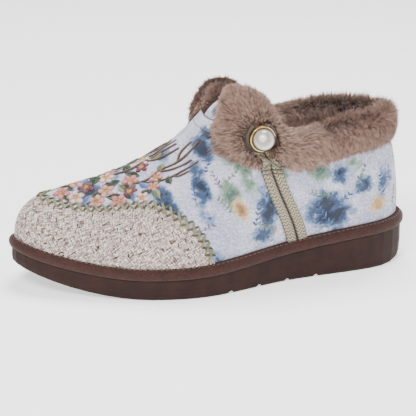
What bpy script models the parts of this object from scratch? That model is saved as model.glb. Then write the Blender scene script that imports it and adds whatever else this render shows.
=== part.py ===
"""A left shoe: a low slipper with a platform sole, a printed cloth upper, a linen toe cap, a plush collar with a
standing lobe on each side of the tongue, and a ribbon strap that hooks round a pearl button on its outer side.

The toe points along -X, the outer side of the foot faces -Y and the floor is z = 0. A place round the shoe is a
turn: 0 at the middle of the heel, 0.5 at the tip of the toe, with the outer side first."""

import math

import bmesh
import bpy
import numpy as np

MM = 0.001

# Sole
SOLE_LENGTH = 258 * MM
SOLE_WIDTH = 98 * MM
HEEL_STACK = 24 * MM
FOREFOOT_STACK = 12.5 * MM
TOE_SPRING = 17 * MM
TOE_SPRING_START = 0.70
HEEL_BEVEL = 3.4 * MM
HEEL_BEVEL_END = 0.10
BAND_HEIGHT = 7.3 * MM
FEATHER_INSET = 5 * MM
GAP = 0.3 * MM
STATIONS = 64

# Grooves across the outsole
GROOVE_COUNT = 4
GROOVE_FIRST = 131 * MM
GROOVE_PITCH = 20.2 * MM
GROOVE_RADIUS = 1.9 * MM
GROOVE_SIDES = 10

# Upper and insole
UPPER_WALL = 2.2 * MM
UPPER_ROWS = 12
COLLAR_HEIGHT = 90 * MM
THROAT_HEIGHT = 100 * MM
COLLAR_WIDTH = 64 * MM
INSOLE_THICKNESS = 4 * MM
INSOLE_GAP = 0.5 * MM

# Tongue
TONGUE_THICKNESS = 3 * MM
TONGUE_REACH = 29 * MM
TONGUE_TUCK = 0.12
TONGUE_HALF_TURN = 0.040
TONGUE_START_ANGLE = math.radians(60)
TONGUE_END_ANGLE = math.radians(12)
TONGUE_CORNER = 0.42
TONGUE_COLUMNS = 11
TONGUE_TUCKED_ROWS = 5
TONGUE_FREE_ROWS = 7

# Toe cap
CAP_THICKNESS = 1.2 * MM
CAP_ROWS = 7

# Plush collar
FUR_OUTER = 8 * MM
FUR_INNER = 5.5 * MM
FUR_INNER_DROP = 20 * MM
LOBE_HEIGHT = 29 * MM
INNER_LOBE = 0.84
SLOT_EASE = 0.25 * MM
SLOT_STEPS = (0.33, 0.67, 1.0)
FLAP_DROP = 19 * MM
FUR_END_ROUND = 9 * MM
FUR_END_CUTS = 3
LOCK_DEPTH = 1.0 * MM
FRINGE_DROP = 2.4 * MM

# Strap
RIBBON_WIDTH = 6.9 * MM
RIBBON_THICKNESS = 1.2 * MM
RIBBON_SEAM = 0.9 * MM
SEAM_THICKNESS = 0.5 * MM
STRAP_BASE_TURN = 0.168
STRAP_TOP_TURN = 0.254
STRAP_BOW = 0.0155
STRAP_TOP_SHARE = 0.745
STRAP_ROWS = 12
LOOP_RADIUS = 9.7 * MM
STRAP_CUT_SIDE = 0.6 * MM
STRAP_CUT_REACH = 25 * MM

# Pearl button
PEARL_RADIUS = 7.0 * MM
PEARL_BACK = 4.0 * MM
PEARL_ALONG = 110.8 * MM
PEARL_OUT = 43.6 * MM
PEARL_HEIGHT = 94.8 * MM
BEZEL_WALL = 0.6 * MM
BEZEL_BASE = 1.0 * MM
BEZEL_RIM = 1.6 * MM
BUTTON_SIDES = 24
BUTTON_ARC_STEPS = 8

SHARP_ANGLE = math.radians(50)
SMALL_TURN = 0.001
SMALL_SHARE = 0.01
EDGE_STEPS = 60

# The sole's outline. along is the share of the length from the heel, across the share of the width, minus on the
# outer side.
OUTLINE = (
    # along, across
    (0.000, 0.000),
    (0.040, -0.212),
    (0.160, -0.327),
    (0.370, -0.395),
    (0.551, -0.525),
    (0.840, -0.347),
    (1.000, 0.036),
    (0.900, 0.370),
    (0.700, 0.480),
    (0.420, 0.310),
    (0.160, 0.345),
    (0.040, 0.220),
)
TOE_ROW = 6

# How much of the heel's extra height the outsole keeps, by share of the length from the heel
WEDGE = (
    # along, share of the heel's extra height
    (0.00, 1.00),
    (0.20, 0.76),
    (0.42, 0.28),
    (0.62, 0.00),
    (0.82, -0.07),
    (1.00, -0.36),
)

# Side of the outsole from the floor up
OUTSOLE_SIDE = (
    # inset in mm, share of the height
    (3.0, 0.00),
    (1.9, 0.07),
    (1.5, 0.45),
    (1.7, 1.00),
)

# Suede bead of the midsole from its lower edge up
BEAD = (
    # inset in mm, share of the band's height
    (1.9, 0.00),
    (0.5, 0.10),
    (0.0, 0.36),
    (0.3, 0.62),
    (1.5, 0.86),
    (3.4, 0.98),
    (7.5, 1.00),
)

# Sections of the upper from the heel to the toe, the same on both sides. The top edge is placed by the share of the
# sole's length from the heel, of half the collar's width, and of the way from the collar's height to the throat's.
# The other columns are the two handles of the section's curve, as shares of the section's own height.
SECTIONS = (
    # turn, top along, top across, top rise, base out, base up, top forward, top side, top down
    (0.000, 0.048, 0.00, 0.00, 0.02, 0.35, -0.07, 0.00, 0.35),
    (0.050, 0.078, 0.53, 0.00, 0.03, 0.35, -0.06, 0.06, 0.35),
    (0.100, 0.159, 0.84, -0.03, 0.05, 0.35, 0.00, 0.12, 0.35),
    (0.180, 0.279, 0.97, -0.05, 0.05, 0.35, 0.05, 0.14, 0.33),
    (0.260, 0.372, 1.00, 0.10, 0.03, 0.36, 0.14, 0.16, 0.30),
    (0.330, 0.434, 0.92, 0.38, 0.03, 0.42, 0.30, 0.30, 0.30),
    (0.390, 0.481, 0.72, 0.71, 0.01, 0.45, 0.44, 0.22, 0.47),
    (0.445, 0.512, 0.55, 0.98, 0.03, 0.485, 0.56, 0.04, 0.70),
    (0.500, 0.523, 0.00, 1.00, 0.00, 0.635, 0.77, 0.00, 0.73),
)

# Edge of the toe cap, as the share of the way up the upper's section that it reaches
CAP_EDGE = (
    # turn, share of the section
    (0.271, 0.005),
    (0.283, 0.125),
    (0.300, 0.240),
    (0.330, 0.350),
    (0.362, 0.435),
    (0.388, 0.478),
    (0.408, 0.472),
    (0.430, 0.428),
    (0.458, 0.358),
    (0.480, 0.318),
    (0.500, 0.305),
)

# Plush collar from the heel to its front end, the same on both sides
COLLAR = (
    # turn, flap below the edge, crest above the edge, outer depth, inner depth, lean inwards
    (0.000, 0.30, 0.37, 0.36, 1.00, 0.00),
    (0.054, 0.32, 0.38, 0.42, 1.00, 0.00),
    (0.100, 0.46, 0.38, 0.68, 1.00, 0.00),
    (0.150, 0.62, 0.33, 0.88, 1.00, 0.00),
    (0.200, 0.84, 0.23, 0.95, 1.00, 0.00),
    (0.250, 0.96, 0.16, 1.00, 1.00, 0.02),
    (0.268, 1.00, 0.32, 1.05, 1.05, 0.06),
    (0.284, 1.04, 0.74, 1.10, 1.10, 0.15),
    (0.312, 1.06, 0.97, 1.15, 1.05, 0.22),
    (0.350, 0.98, 1.00, 1.15, 0.90, 0.25),
    (0.390, 0.68, 0.95, 1.12, 0.60, 0.24),
    (0.420, 0.40, 0.84, 1.05, 0.34, 0.22),
    (0.4375, 0.25, 0.70, 0.95, 0.24, 0.22),
)

# The plush seen in section. Outer side: share of the way from the flap's lower edge to the crest, share of the depth.
PLUSH_OUTER = (
    (0.00, 0.50),
    (0.10, 0.86),
    (0.27, 1.00),
    (0.45, 1.04),
    (0.62, 0.98),
    (0.78, 0.82),
    (0.91, 0.50),
)
# Inner side: share of the way from the crest down to the lining's lower edge, share of the depth
PLUSH_INNER = (
    (0.06, 0.45),
    (0.22, 0.85),
    (0.45, 1.00),
    (0.72, 0.95),
    (1.00, 0.45),
)

# Head of the strap above its two ribbons, in radii of its loop from the middle of the pearl
STRAP_HEAD = (
    # rise, half width, share of the way over to the pearl, out from the loop's plane
    (-1.70, 0.58, 0.14, 0.24),
    (-1.42, 0.44, 0.34, 0.26),
    (-1.14, 0.52, 0.62, 0.12),
    (-0.86, 0.74, 0.86, 0.00),
    (-0.55, 0.91, 1.00, 0.00),
    (-0.22, 0.99, 1.00, 0.00),
    (0.12, 1.00, 1.00, 0.00),
    (0.45, 0.89, 1.00, 0.00),
    (0.74, 0.67, 1.00, 0.00),
    (0.92, 0.39, 1.00, 0.00),
    (1.00, 0.14, 1.00, 0.00),
)


def smooth_curve(knots, values):
    """A cubic spline through the rows of a table, as a function of the knot."""
    knots = np.asarray(knots, float)
    values = np.asarray(values, float).reshape(len(knots), -1)
    steps = np.diff(knots)
    slopes = np.diff(values, axis=0) / steps[:, None]
    system = np.eye(len(knots))
    target = np.zeros_like(values)
    for row in range(1, len(knots) - 1):
        system[row, row - 1 : row + 2] = steps[row - 1], 2 * (steps[row - 1] + steps[row]), steps[row]
        target[row] = 6 * (slopes[row] - slopes[row - 1])
    bends = np.linalg.solve(system, target)

    def at(where):
        where = np.asarray(where, float)
        flat = np.clip(where.reshape(-1), knots[0], knots[-1])
        row = np.clip(np.searchsorted(knots, flat, side="right") - 1, 0, len(steps) - 1)
        step = steps[row][:, None]
        low = (knots[row + 1] - flat)[:, None] / step
        high = 1 - low
        bend = (low**3 - low) * bends[row] + (high**3 - high) * bends[row + 1]
        found = low * values[row] + high * values[row + 1] + bend * step**2 / 6
        return found.reshape(*where.shape, -1)

    return at


def smooth_loop(knots, values):
    """The same round a closed loop whose knots run from 0 to under 1."""
    knots = np.asarray(knots, float)
    values = np.asarray(values, float)
    at = smooth_curve(np.concatenate([knots - 1, knots, knots + 1]), np.concatenate([values] * 3))
    return lambda where: at(np.asarray(where, float) % 1)


def table_curve(rows):
    return smooth_curve([row[0] for row in rows], [row[1:] for row in rows])


def both_sides(rows):
    """A half table from the heel, turn 0, to the toe, turn 0.5, as a loop: the inner side repeats the outer side."""
    half = np.asarray(rows, float)
    back = half[1:-1][::-1].copy()
    back[:, 0] = 1 - back[:, 0]
    whole = np.concatenate([half, back])
    return smooth_loop(whole[:, 0], whole[:, 1:])


def outline_turns(points):
    """The turn of each row of the outline, by the length of its chords, with each side worked out by itself."""
    chords = np.linalg.norm(np.diff(np.concatenate([points, points[:1]]), axis=0), axis=1)
    outer = np.cumsum(chords[:TOE_ROW]) / chords[:TOE_ROW].sum()
    inner = np.cumsum(chords[TOE_ROW:-1]) / chords[TOE_ROW:].sum()
    return np.concatenate([[0], outer / 2, 0.5 + inner / 2])


def make_outline():
    shares = np.array(OUTLINE)
    points = np.stack([SOLE_LENGTH * (0.5 - shares[:, 0]), SOLE_WIDTH * shares[:, 1]], axis=1)
    return smooth_loop(outline_turns(points), points)


def unit(vectors):
    return vectors / np.linalg.norm(vectors, axis=-1, keepdims=True)


OUTLINE_AT = make_outline()
WEDGE_AT = table_curve(WEDGE)
SECTION_AT = both_sides(SECTIONS)
CAP_EDGE_AT = table_curve(CAP_EDGE)
COLLAR_AT = table_curve(COLLAR)


def outward(turn):
    """The level direction out of the sole's outline."""
    ahead = OUTLINE_AT(turn + SMALL_TURN) - OUTLINE_AT(turn - SMALL_TURN)
    return unit(np.stack([-ahead[..., 1], ahead[..., 0]], axis=-1))


def plan(turn, inset):
    """The outline, moved inwards."""
    return OUTLINE_AT(turn) - outward(turn) * np.asarray(inset)[..., None]


def along(x):
    return np.clip(0.5 - x / SOLE_LENGTH, 0, 1)


def toe_lift(x):
    toe = np.clip((along(x) - TOE_SPRING_START) / (1 - TOE_SPRING_START), 0, 1)
    return TOE_SPRING * toe**2


def floor_height(x):
    """Underside of the outsole: flat, with the toe sprung up and the heel's back edge bevelled."""
    heel = np.clip((HEEL_BEVEL_END - along(x)) / HEEL_BEVEL_END, 0, 1)
    return toe_lift(x) + HEEL_BEVEL * heel**2


def outsole_top(x):
    return toe_lift(x) + FOREFOOT_STACK + (HEEL_STACK - FOREFOOT_STACK) * WEDGE_AT(along(x))[..., 0]


def deck_height(x):
    """Top of the midsole's plate."""
    return outsole_top(x) + BAND_HEIGHT


def seated(points):
    """The same points, set a gap above the midsole's plate."""
    points = points.copy()
    points[..., 2] = deck_height(points[..., 0]) + GAP
    return points


def stations(count=STATIONS):
    return np.arange(count) / count


def section(turn, share):
    """A point of the upper's outer skin: turn round the shoe, share of the way from the sole to the top edge."""
    turn, share = np.broadcast_arrays(np.asarray(turn, float), np.asarray(share, float))
    row = SECTION_AT(turn)
    side = np.where(turn % 1 < 0.5, -1.0, 1.0)
    base = plan(turn, np.full(turn.shape, FEATHER_INSET))
    low = seated(np.concatenate([base, np.zeros((*turn.shape, 1))], axis=-1))
    top = np.stack(
        [
            SOLE_LENGTH * (0.5 - row[..., 0]),
            side * row[..., 1] * COLLAR_WIDTH / 2,
            COLLAR_HEIGHT + (THROAT_HEIGHT - COLLAR_HEIGHT) * row[..., 2],
        ],
        axis=-1,
    )
    height = (top[..., 2] - low[..., 2])[..., None]
    rise = np.concatenate([outward(turn) * row[..., 3:4], row[..., 4:5]], axis=-1)
    fall = np.stack([-row[..., 5], side * row[..., 6], -row[..., 7]], axis=-1)
    low_handle = low + height * rise
    top_handle = top + height * fall
    t = share[..., None]
    start = low * (1 - t) ** 3 + 3 * low_handle * t * (1 - t) ** 2
    return start + 3 * top_handle * t**2 * (1 - t) + top * t**3


def upper_point(turn, share, lift=0.0):
    """The same, moved out of the skin by lift, or into it where lift is negative."""
    turn, share = np.broadcast_arrays(np.asarray(turn, float), np.asarray(share, float))
    round_way = section(turn + SMALL_TURN, share) - section(turn - SMALL_TURN, share)
    up_way = section(turn, share + SMALL_SHARE) - section(turn, share - SMALL_SHARE)
    return section(turn, share) + unit(np.cross(up_way, round_way)) * np.asarray(lift)[..., None]


def share_below_edge(turn, drop):
    """The share of the section that lies a length below the top edge, measured along the skin."""
    steps = np.linspace(1, 0, EDGE_STEPS)
    points = section(turn, steps)
    run = np.concatenate([[0], np.cumsum(np.linalg.norm(np.diff(points, axis=0), axis=1))])
    return np.interp(drop, run, steps)


def new_material(name, color, roughness, metallic=0.0):
    material = bpy.data.materials.new(name)
    material.use_nodes = True
    shader = material.node_tree.nodes["Principled BSDF"]
    shader.inputs["Base Color"].default_value = (*color, 1.0)
    shader.inputs["Roughness"].default_value = roughness
    shader.inputs["Metallic"].default_value = metallic
    material.diffuse_color = (*color, 1.0)
    return material


def add_object(name, work, material, parent):
    """Ends a bmesh: one closed body, faces out, smooth but for its real edges."""
    bmesh.ops.recalc_face_normals(work, faces=work.faces)
    mesh = bpy.data.meshes.new(name)
    work.to_mesh(mesh)
    work.free()
    mesh.materials.append(material)
    mesh.shade_smooth()
    mesh.set_sharp_from_angle(angle=SHARP_ANGLE)
    obj = bpy.data.objects.new(name, mesh)
    obj.parent = parent
    bpy.context.collection.objects.link(obj)
    return obj


def add_ring(work, points):
    return [work.verts.new(point) for point in points]


def join_rings(work, first, second, closed=True):
    """Quads between two rings of as many points."""
    count = len(first)
    for here in range(count if closed else count - 1):
        there = (here + 1) % count
        work.faces.new((first[here], first[there], second[there], second[here]))


def ladder(work, ring):
    """Closes a ring round the shoe with faces that run straight across it, from the outer side to the inner."""
    count = len(ring)
    for here in range(count // 2):
        corners = [ring[here], ring[here + 1], ring[(count - here - 1) % count], ring[(count - here) % count]]
        work.faces.new(list(dict.fromkeys(corners)))


def add_plate(name, profile, low, high, material, parent):
    """A plate over the whole outline: each row of the profile is an inset in mm and a share of the way from the
    surface low to the surface high."""
    turn = stations()
    work = bmesh.new()
    rings = []
    for inset, share in profile:
        points = plan(turn, np.full(STATIONS, inset * MM))
        bottom = low(points[:, 0])
        height = bottom + share * (high(points[:, 0]) - bottom)
        rings.append(add_ring(work, np.concatenate([points, height[:, None]], axis=1)))
    for first, second in zip(rings, rings[1:]):
        join_rings(work, first, second)
    ladder(work, rings[0])
    ladder(work, rings[-1])
    return add_object(name, work, material, parent)


def fill_slab(work, front, back):
    """A closed sheet between two grids of points with as many rows and columns."""
    front_rows, back_rows = ([add_ring(work, row) for row in grid] for grid in (front, back))
    for skin in (front_rows, back_rows):
        for first, second in zip(skin, skin[1:]):
            join_rings(work, first, second, closed=False)
    for row in (0, -1):
        join_rings(work, front_rows[row], back_rows[row], closed=False)
    for column in (0, -1):
        edge = [row[column] for row in front_rows]
        join_rings(work, edge, [row[column] for row in back_rows], closed=False)


def add_slab(name, front, back, material, parent):
    work = bmesh.new()
    fill_slab(work, front, back)
    return add_object(name, work, material, parent)


def hide_cutter(cutter):
    cutter.hide_render = True
    cutter.display_type = "WIRE"
    return cutter


def cut(obj, cutter):
    modifier = obj.modifiers.new(cutter.name, "BOOLEAN")
    modifier.operation = "DIFFERENCE"
    modifier.solver = "EXACT"
    modifier.object = cutter


def add_drum(name, centre, radius, first, last, sides, material, parent):
    """A straight drum along Y between the places first and last."""
    work = bmesh.new()
    angles = np.arange(sides) * 2 * math.pi / sides
    circle = [(centre[0] + radius * math.cos(angle), centre[1] + radius * math.sin(angle)) for angle in angles]
    ends = [add_ring(work, [(x, y, z) for x, z in circle]) for y in (first, last)]
    join_rings(work, *ends)
    for ring in ends:
        work.faces.new(ring)
    return add_object(name, work, material, parent)


def add_turned(name, profile, centre, material, parent):
    """A body turned round an axis along Y: each row of the profile is a radius and a place along Y."""
    work = bmesh.new()
    verts = [work.verts.new((radius, y, 0)) for radius, y in profile]
    edges = [work.edges.new(pair) for pair in zip(verts, verts[1:])]
    bmesh.ops.spin(
        work,
        geom=verts + edges,
        cent=(0, 0, 0),
        axis=(0, 1, 0),
        angle=2 * math.pi,
        steps=BUTTON_SIDES,
    )
    bmesh.ops.remove_doubles(work, verts=work.verts, dist=MM / 1000)
    bmesh.ops.translate(work, verts=work.verts, vec=centre)
    return add_object(name, work, material, parent)


def make_outsole(parent):
    material = new_material("outsole_rubber", (0.087, 0.048, 0.036), 0.62)
    outsole = add_plate("outsole", OUTSOLE_SIDE, floor_height, outsole_top, material, parent)
    for index in range(GROOVE_COUNT):
        x = SOLE_LENGTH / 2 - GROOVE_FIRST + GROOVE_PITCH * index
        name = f"groove_cutter_{index + 1}"
        groove = add_drum(name, (x, 0), GROOVE_RADIUS, -SOLE_WIDTH, SOLE_WIDTH, GROOVE_SIDES, material, parent)
        cut(outsole, hide_cutter(groove))


def make_midsole(parent):
    material = new_material("midsole_suede", (0.147, 0.061, 0.044), 0.9)
    add_plate("midsole", BEAD, lambda x: outsole_top(x) + GAP, deck_height, material, parent)


def make_insole(parent):
    edge = (FEATHER_INSET + UPPER_WALL + INSOLE_GAP) / MM
    profile = ((edge + 0.6, 0.0), (edge, 0.15), (edge, 0.8), (edge + 1.2, 1.0))
    material = new_material("insole_plush", (0.30, 0.21, 0.17), 0.95)

    def low(x):
        return deck_height(x) + GAP

    def high(x):
        return deck_height(x) + GAP + INSOLE_THICKNESS

    add_plate("insole", profile, low, high, material, parent)


def make_upper(parent):
    """One hollow wall, open at the collar and underneath."""
    turn = stations()
    work = bmesh.new()
    skins = []
    for lift in (0.0, -UPPER_WALL):
        grid = [upper_point(turn, share, lift) for share in np.linspace(0, 1, UPPER_ROWS)]
        grid[0] = seated(grid[0])
        skins.append([add_ring(work, points) for points in grid])
    for skin in skins:
        for first, second in zip(skin, skin[1:]):
            join_rings(work, first, second)
    for row in (0, -1):
        join_rings(work, skins[0][row], skins[1][row])
    add_object("upper", work, new_material("upper_print", (0.60, 0.62, 0.70), 0.85), parent)


def make_toe_cap(parent):
    first = CAP_EDGE[0][0]
    half_stations = stations(2 * STATIONS)
    inside = half_stations[(half_stations > first) & (half_stations < 1 - first)]
    turn = np.concatenate([[first], inside, [1 - first]])
    reach = CAP_EDGE_AT(np.where(turn > 0.5, 1 - turn, turn))[..., 0]
    shares = np.linspace(0, 1, CAP_ROWS)[:, None] * reach[None, :]
    grids = []
    for lift in (GAP + CAP_THICKNESS, GAP):
        grid = upper_point(turn[None, :], shares, lift)
        grid[0] = seated(grid[0])
        grids.append(grid)
    add_slab("toe_cap", *grids, new_material("toe_cap_linen", (0.52, 0.45, 0.38), 0.9), parent)


def make_tongue(parent):
    """It starts under the vamp and rises behind the vamp's edge in one bend, with rounded top corners."""
    column = np.linspace(-1, 1, TONGUE_COLUMNS)
    turn = 0.5 + TONGUE_HALF_TURN * column
    depth = UPPER_WALL + GAP
    tucked = np.linspace(1 - TONGUE_TUCK, 1, TONGUE_TUCKED_ROWS)[:, None]
    front = list(upper_point(turn[None, :], tucked, -depth))
    back = list(upper_point(turn[None, :], tucked, -depth - TONGUE_THICKNESS))
    reach = TONGUE_REACH * (1 - TONGUE_CORNER * np.abs(column) ** 3)
    place = front[-1]
    for step in range(TONGUE_FREE_ROWS):
        turned = (step + 0.5) / TONGUE_FREE_ROWS
        angle = TONGUE_START_ANGLE + (TONGUE_END_ANGLE - TONGUE_START_ANGLE) * turned
        way = np.array([math.cos(angle), 0, math.sin(angle)])
        normal = np.array([-math.sin(angle), 0, math.cos(angle)])
        place = place + way * (reach / TONGUE_FREE_ROWS)[:, None]
        front.append(place)
        back.append(place - normal * TONGUE_THICKNESS)
    material = new_material("tongue_print", (0.55, 0.59, 0.68), 0.85)
    add_slab("tongue", np.array(front), np.array(back), material, parent)


def collar_turns():
    """The upper's own stations along the collar from the outer front end round the heel to the inner one, with
    closer ones at both ends."""
    last = COLLAR[-1][0]
    inside = stations()[stations() < last]
    close = np.linspace(inside[-1], last, FUR_END_CUTS + 1)[1:]
    half = np.concatenate([inside, close])
    return np.concatenate([half[::-1], -half[1:]])


def collar_ring(turn, from_end, station):
    """One section of the plush collar: up the outside, over the crest, down the inside, and back through the slot
    that the upper's edge stands in. Every second point is drawn out as a lock."""
    flap, crest, outer, inner, lean = COLLAR_AT(abs(turn))
    close = min(from_end / FUR_END_ROUND, 1)
    swell = 0.3 + 0.7 * math.sqrt(1 - (1 - close) ** 2)
    flap = FLAP_DROP * flap * (0.5 + 0.5 * swell)
    crest = LOBE_HEIGHT * crest * swell * (INNER_LOBE if turn < 0 else 1)
    outer = FUR_OUTER * outer * swell
    inner = FUR_INNER * inner * swell
    drop_in = FUR_INNER_DROP * swell
    edge = section(turn, 1.0)
    level = (upper_point(turn, 1.0, 1.0) - edge) * (1, 1, 0)
    level = unit(level)
    up = np.array([-level[0] * lean, -level[1] * lean, 1.0])

    def at(height, out, slot):
        """A point at a height over the upper's edge, out from the skin by out, past the slot's own gap."""
        lift = slot + out
        if height >= 0:
            return edge + up * height + level * lift
        return upper_point(turn, share_below_edge(turn, -height), lift)

    points = []
    for row, (share, depth) in enumerate(PLUSH_OUTER):
        lock = LOCK_DEPTH if (row + station) % 2 else -LOCK_DEPTH
        fringe = FRINGE_DROP * (station % 2) if row == 0 else 0
        height = -flap + (flap + crest) * share - fringe
        points.append(at(height, outer * depth + lock * swell, GAP))
    points.append(at(crest, 0.0, -UPPER_WALL / 2))
    for row, (share, depth) in enumerate(PLUSH_INNER):
        lock = LOCK_DEPTH / 2 if (row + station) % 2 else 0
        height = crest - (crest + drop_in) * share
        points.append(at(height, -inner * depth - lock * swell, -UPPER_WALL - GAP))
    for share in SLOT_STEPS[::-1]:
        points.append(at(-drop_in * share, 0.0, -UPPER_WALL - GAP - SLOT_EASE))
    over_edge = unit(edge - section(turn, 1.0 - SMALL_SHARE)) * (GAP + SLOT_EASE)
    points.append(upper_point(turn, 1.0, -UPPER_WALL - GAP) + over_edge)
    points.append(upper_point(turn, 1.0, GAP) + over_edge)
    for share in SLOT_STEPS:
        points.append(at(-flap * share, 0.0, GAP + SLOT_EASE))
    return np.array(points)


def make_fur_collar(parent, strap_cutter):
    turns = collar_turns()
    edge = section(turns, 1.0)
    run = np.concatenate([[0], np.cumsum(np.linalg.norm(np.diff(edge, axis=0), axis=1))])
    work = bmesh.new()
    rings = []
    for station, turn in enumerate(turns):
        from_end = min(run[station], run[-1] - run[station])
        rings.append(add_ring(work, collar_ring(turn, from_end, station)))
    for first, second in zip(rings, rings[1:]):
        join_rings(work, first, second)
    work.faces.new(rings[0])
    work.faces.new(rings[-1])
    collar = add_object("fur_collar", work, new_material("collar_plush", (0.37, 0.25, 0.20), 0.95), parent)
    cut(collar, strap_cutter)


def pearl_centre():
    return np.array([SOLE_LENGTH / 2 - PEARL_ALONG, -PEARL_OUT, PEARL_HEIGHT])


def loop_plane():
    """Where along Y the back of the strap's loop lies: level with the bezel's back."""
    return pearl_centre()[1] + PEARL_BACK + BEZEL_BASE + 2 * GAP


def strap_rows(lift, spread, reach=0.0):
    """Rows of points over the strap's whole length: lift is its height off the upper, spread its extra width on
    each side and reach how far it is carried straight out."""
    half = RIBBON_WIDTH + RIBBON_SEAM / 2
    seam = RIBBON_SEAM / 2
    columns = np.array([-half, -RIBBON_WIDTH / 2, -seam, -seam / 2, seam / 2, seam, RIBBON_WIDTH / 2, half])
    columns = columns * (half + spread) / half
    rows = []
    for share in np.linspace(0, STRAP_TOP_SHARE, STRAP_ROWS):
        way = share / STRAP_TOP_SHARE
        middle = STRAP_BASE_TURN + (STRAP_TOP_TURN - STRAP_BASE_TURN) * way - STRAP_BOW * 4 * way * (1 - way)
        step = section(middle + SMALL_TURN, share) - section(middle - SMALL_TURN, share)
        turn = middle - columns * 2 * SMALL_TURN / np.linalg.norm(step)
        rows.append(upper_point(turn, share, lift))
    rows[0] = seated(rows[0])
    top = rows[-1].mean(axis=0)
    pearl = pearl_centre()
    for rise, wide, over, out in STRAP_HEAD:
        x = top[0] + (pearl[0] - top[0]) * over + columns / half * wide * LOOP_RADIUS
        x = x + np.sign(columns) * spread * (1 - wide)
        y = loop_plane() - out * LOOP_RADIUS - np.mean(lift)
        rows.append(np.stack([x, np.full(x.shape, y), np.full(x.shape, pearl[2] + rise * LOOP_RADIUS)], axis=1))
    rows = np.array(rows)
    rows[..., 1] -= reach
    return rows


def make_strap_cutter(parent, material):
    """What the strap and the button press out of the plush."""
    back = strap_rows(-GAP, STRAP_CUT_SIDE)
    front = strap_rows(-GAP, STRAP_CUT_SIDE, STRAP_CUT_REACH)
    first = STRAP_ROWS // 2
    cutter = add_slab("strap_cutter", front[first:], back[first:], material, parent)
    return hide_cutter(cutter)


def make_strap(parent, material):
    """Two ribbons side by side, run together into a neck and a loop round the button."""
    edge = RIBBON_THICKNESS
    seam = SEAM_THICKNESS
    thickness = np.array([edge, edge * 1.15, edge, seam, seam, edge, edge * 1.15, edge])
    strap = add_slab("strap", strap_rows(GAP + thickness, 0.0), strap_rows(GAP, 0.0), material, parent)
    pearl = pearl_centre()
    radius = PEARL_RADIUS + BEZEL_WALL + 2 * GAP
    reach = LOOP_RADIUS
    hole = add_drum(
        "strap_hole", (pearl[0], pearl[2]), radius, pearl[1] - reach, pearl[1] + reach, BUTTON_SIDES, material, parent
    )
    cut(strap, hide_cutter(hole))


def make_pearl(parent):
    """A ball with a flat back."""
    back_angle = math.asin(PEARL_BACK / PEARL_RADIUS)
    angles = np.linspace(-math.pi / 2, back_angle, BUTTON_ARC_STEPS)
    profile = [(PEARL_RADIUS * math.cos(angle), PEARL_RADIUS * math.sin(angle)) for angle in angles]
    profile[0] = (0, -PEARL_RADIUS)
    profile.append((0, PEARL_BACK))
    add_turned("pearl", profile, pearl_centre(), new_material("pearl_coat", (0.80, 0.77, 0.70), 0.12), parent)


def make_bezel(parent):
    """A thin cup round the back of the pearl."""
    inside = PEARL_RADIUS + GAP
    outside = inside + BEZEL_WALL
    base = PEARL_BACK + GAP
    rim_angle = math.asin(BEZEL_RIM / inside)
    base_angle = math.asin(base / inside)
    angles = np.linspace(base_angle, rim_angle, 4)
    inner = [(inside * math.cos(angle), inside * math.sin(angle)) for angle in angles]
    outer = [(outside * math.cos(angle), outside * math.sin(angle)) for angle in angles[::-1]]
    outer[-1] = (outer[-1][0], base + BEZEL_BASE / 2)
    profile = [(0, base), *inner, *outer, (outer[-1][0] - BEZEL_BASE, base + BEZEL_BASE), (0, base + BEZEL_BASE)]
    material = new_material("bezel_metal", (0.72, 0.52, 0.25), 0.25, 1.0)
    add_turned("button_bezel", profile, pearl_centre(), material, parent)


def main():
    for obj in list(bpy.data.objects):
        bpy.data.objects.remove(obj)
    parent = bpy.data.objects.new("slipper", None)
    bpy.context.collection.objects.link(parent)
    outline = OUTLINE_AT(stations())
    middle = (outline.min(axis=0) + outline.max(axis=0)) / 2
    parent.location = (-middle[0], -middle[1], 0)
    ribbon = new_material("strap_ribbon", (0.33, 0.29, 0.21), 0.8)
    make_outsole(parent)
    make_midsole(parent)
    make_insole(parent)
    make_upper(parent)
    make_toe_cap(parent)
    make_tongue(parent)
    make_strap(parent, ribbon)
    make_fur_collar(parent, make_strap_cutter(parent, ribbon))
    make_bezel(parent)
    make_pearl(parent)


main()
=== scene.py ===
"""The looks of a left slipper: a platform sole with a suede band, a printed cloth upper with
embroidery, a linen toe cap, a plush collar, and a ribbon strap looped round a pearl button.

The toe points along -X, the outer side of the foot faces -Y and the floor is z = 0. A place round
the shoe is a turn: 0 at the middle of the heel, 0.5 at the tip of the toe, with the outer side
first. A share is the way up the upper's side, from the sole to the top edge."""

import math

import bmesh
import bpy
import numpy as np
from mathutils import Matrix, Vector
from mathutils.bvhtree import BVHTree
from mathutils.kdtree import KDTree

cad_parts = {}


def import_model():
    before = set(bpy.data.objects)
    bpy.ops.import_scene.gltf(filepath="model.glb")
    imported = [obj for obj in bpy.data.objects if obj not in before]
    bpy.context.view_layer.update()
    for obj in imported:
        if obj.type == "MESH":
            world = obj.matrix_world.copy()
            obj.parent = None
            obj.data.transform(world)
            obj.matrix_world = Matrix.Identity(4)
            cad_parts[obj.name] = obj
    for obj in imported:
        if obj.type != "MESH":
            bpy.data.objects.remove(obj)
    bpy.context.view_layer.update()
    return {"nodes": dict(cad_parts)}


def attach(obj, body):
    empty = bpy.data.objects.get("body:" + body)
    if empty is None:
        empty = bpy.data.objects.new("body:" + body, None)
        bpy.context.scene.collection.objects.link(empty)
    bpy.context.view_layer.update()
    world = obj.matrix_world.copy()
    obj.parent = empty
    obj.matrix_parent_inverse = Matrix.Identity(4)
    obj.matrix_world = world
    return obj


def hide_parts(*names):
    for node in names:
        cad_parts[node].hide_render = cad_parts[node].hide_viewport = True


MM = 0.001

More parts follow.
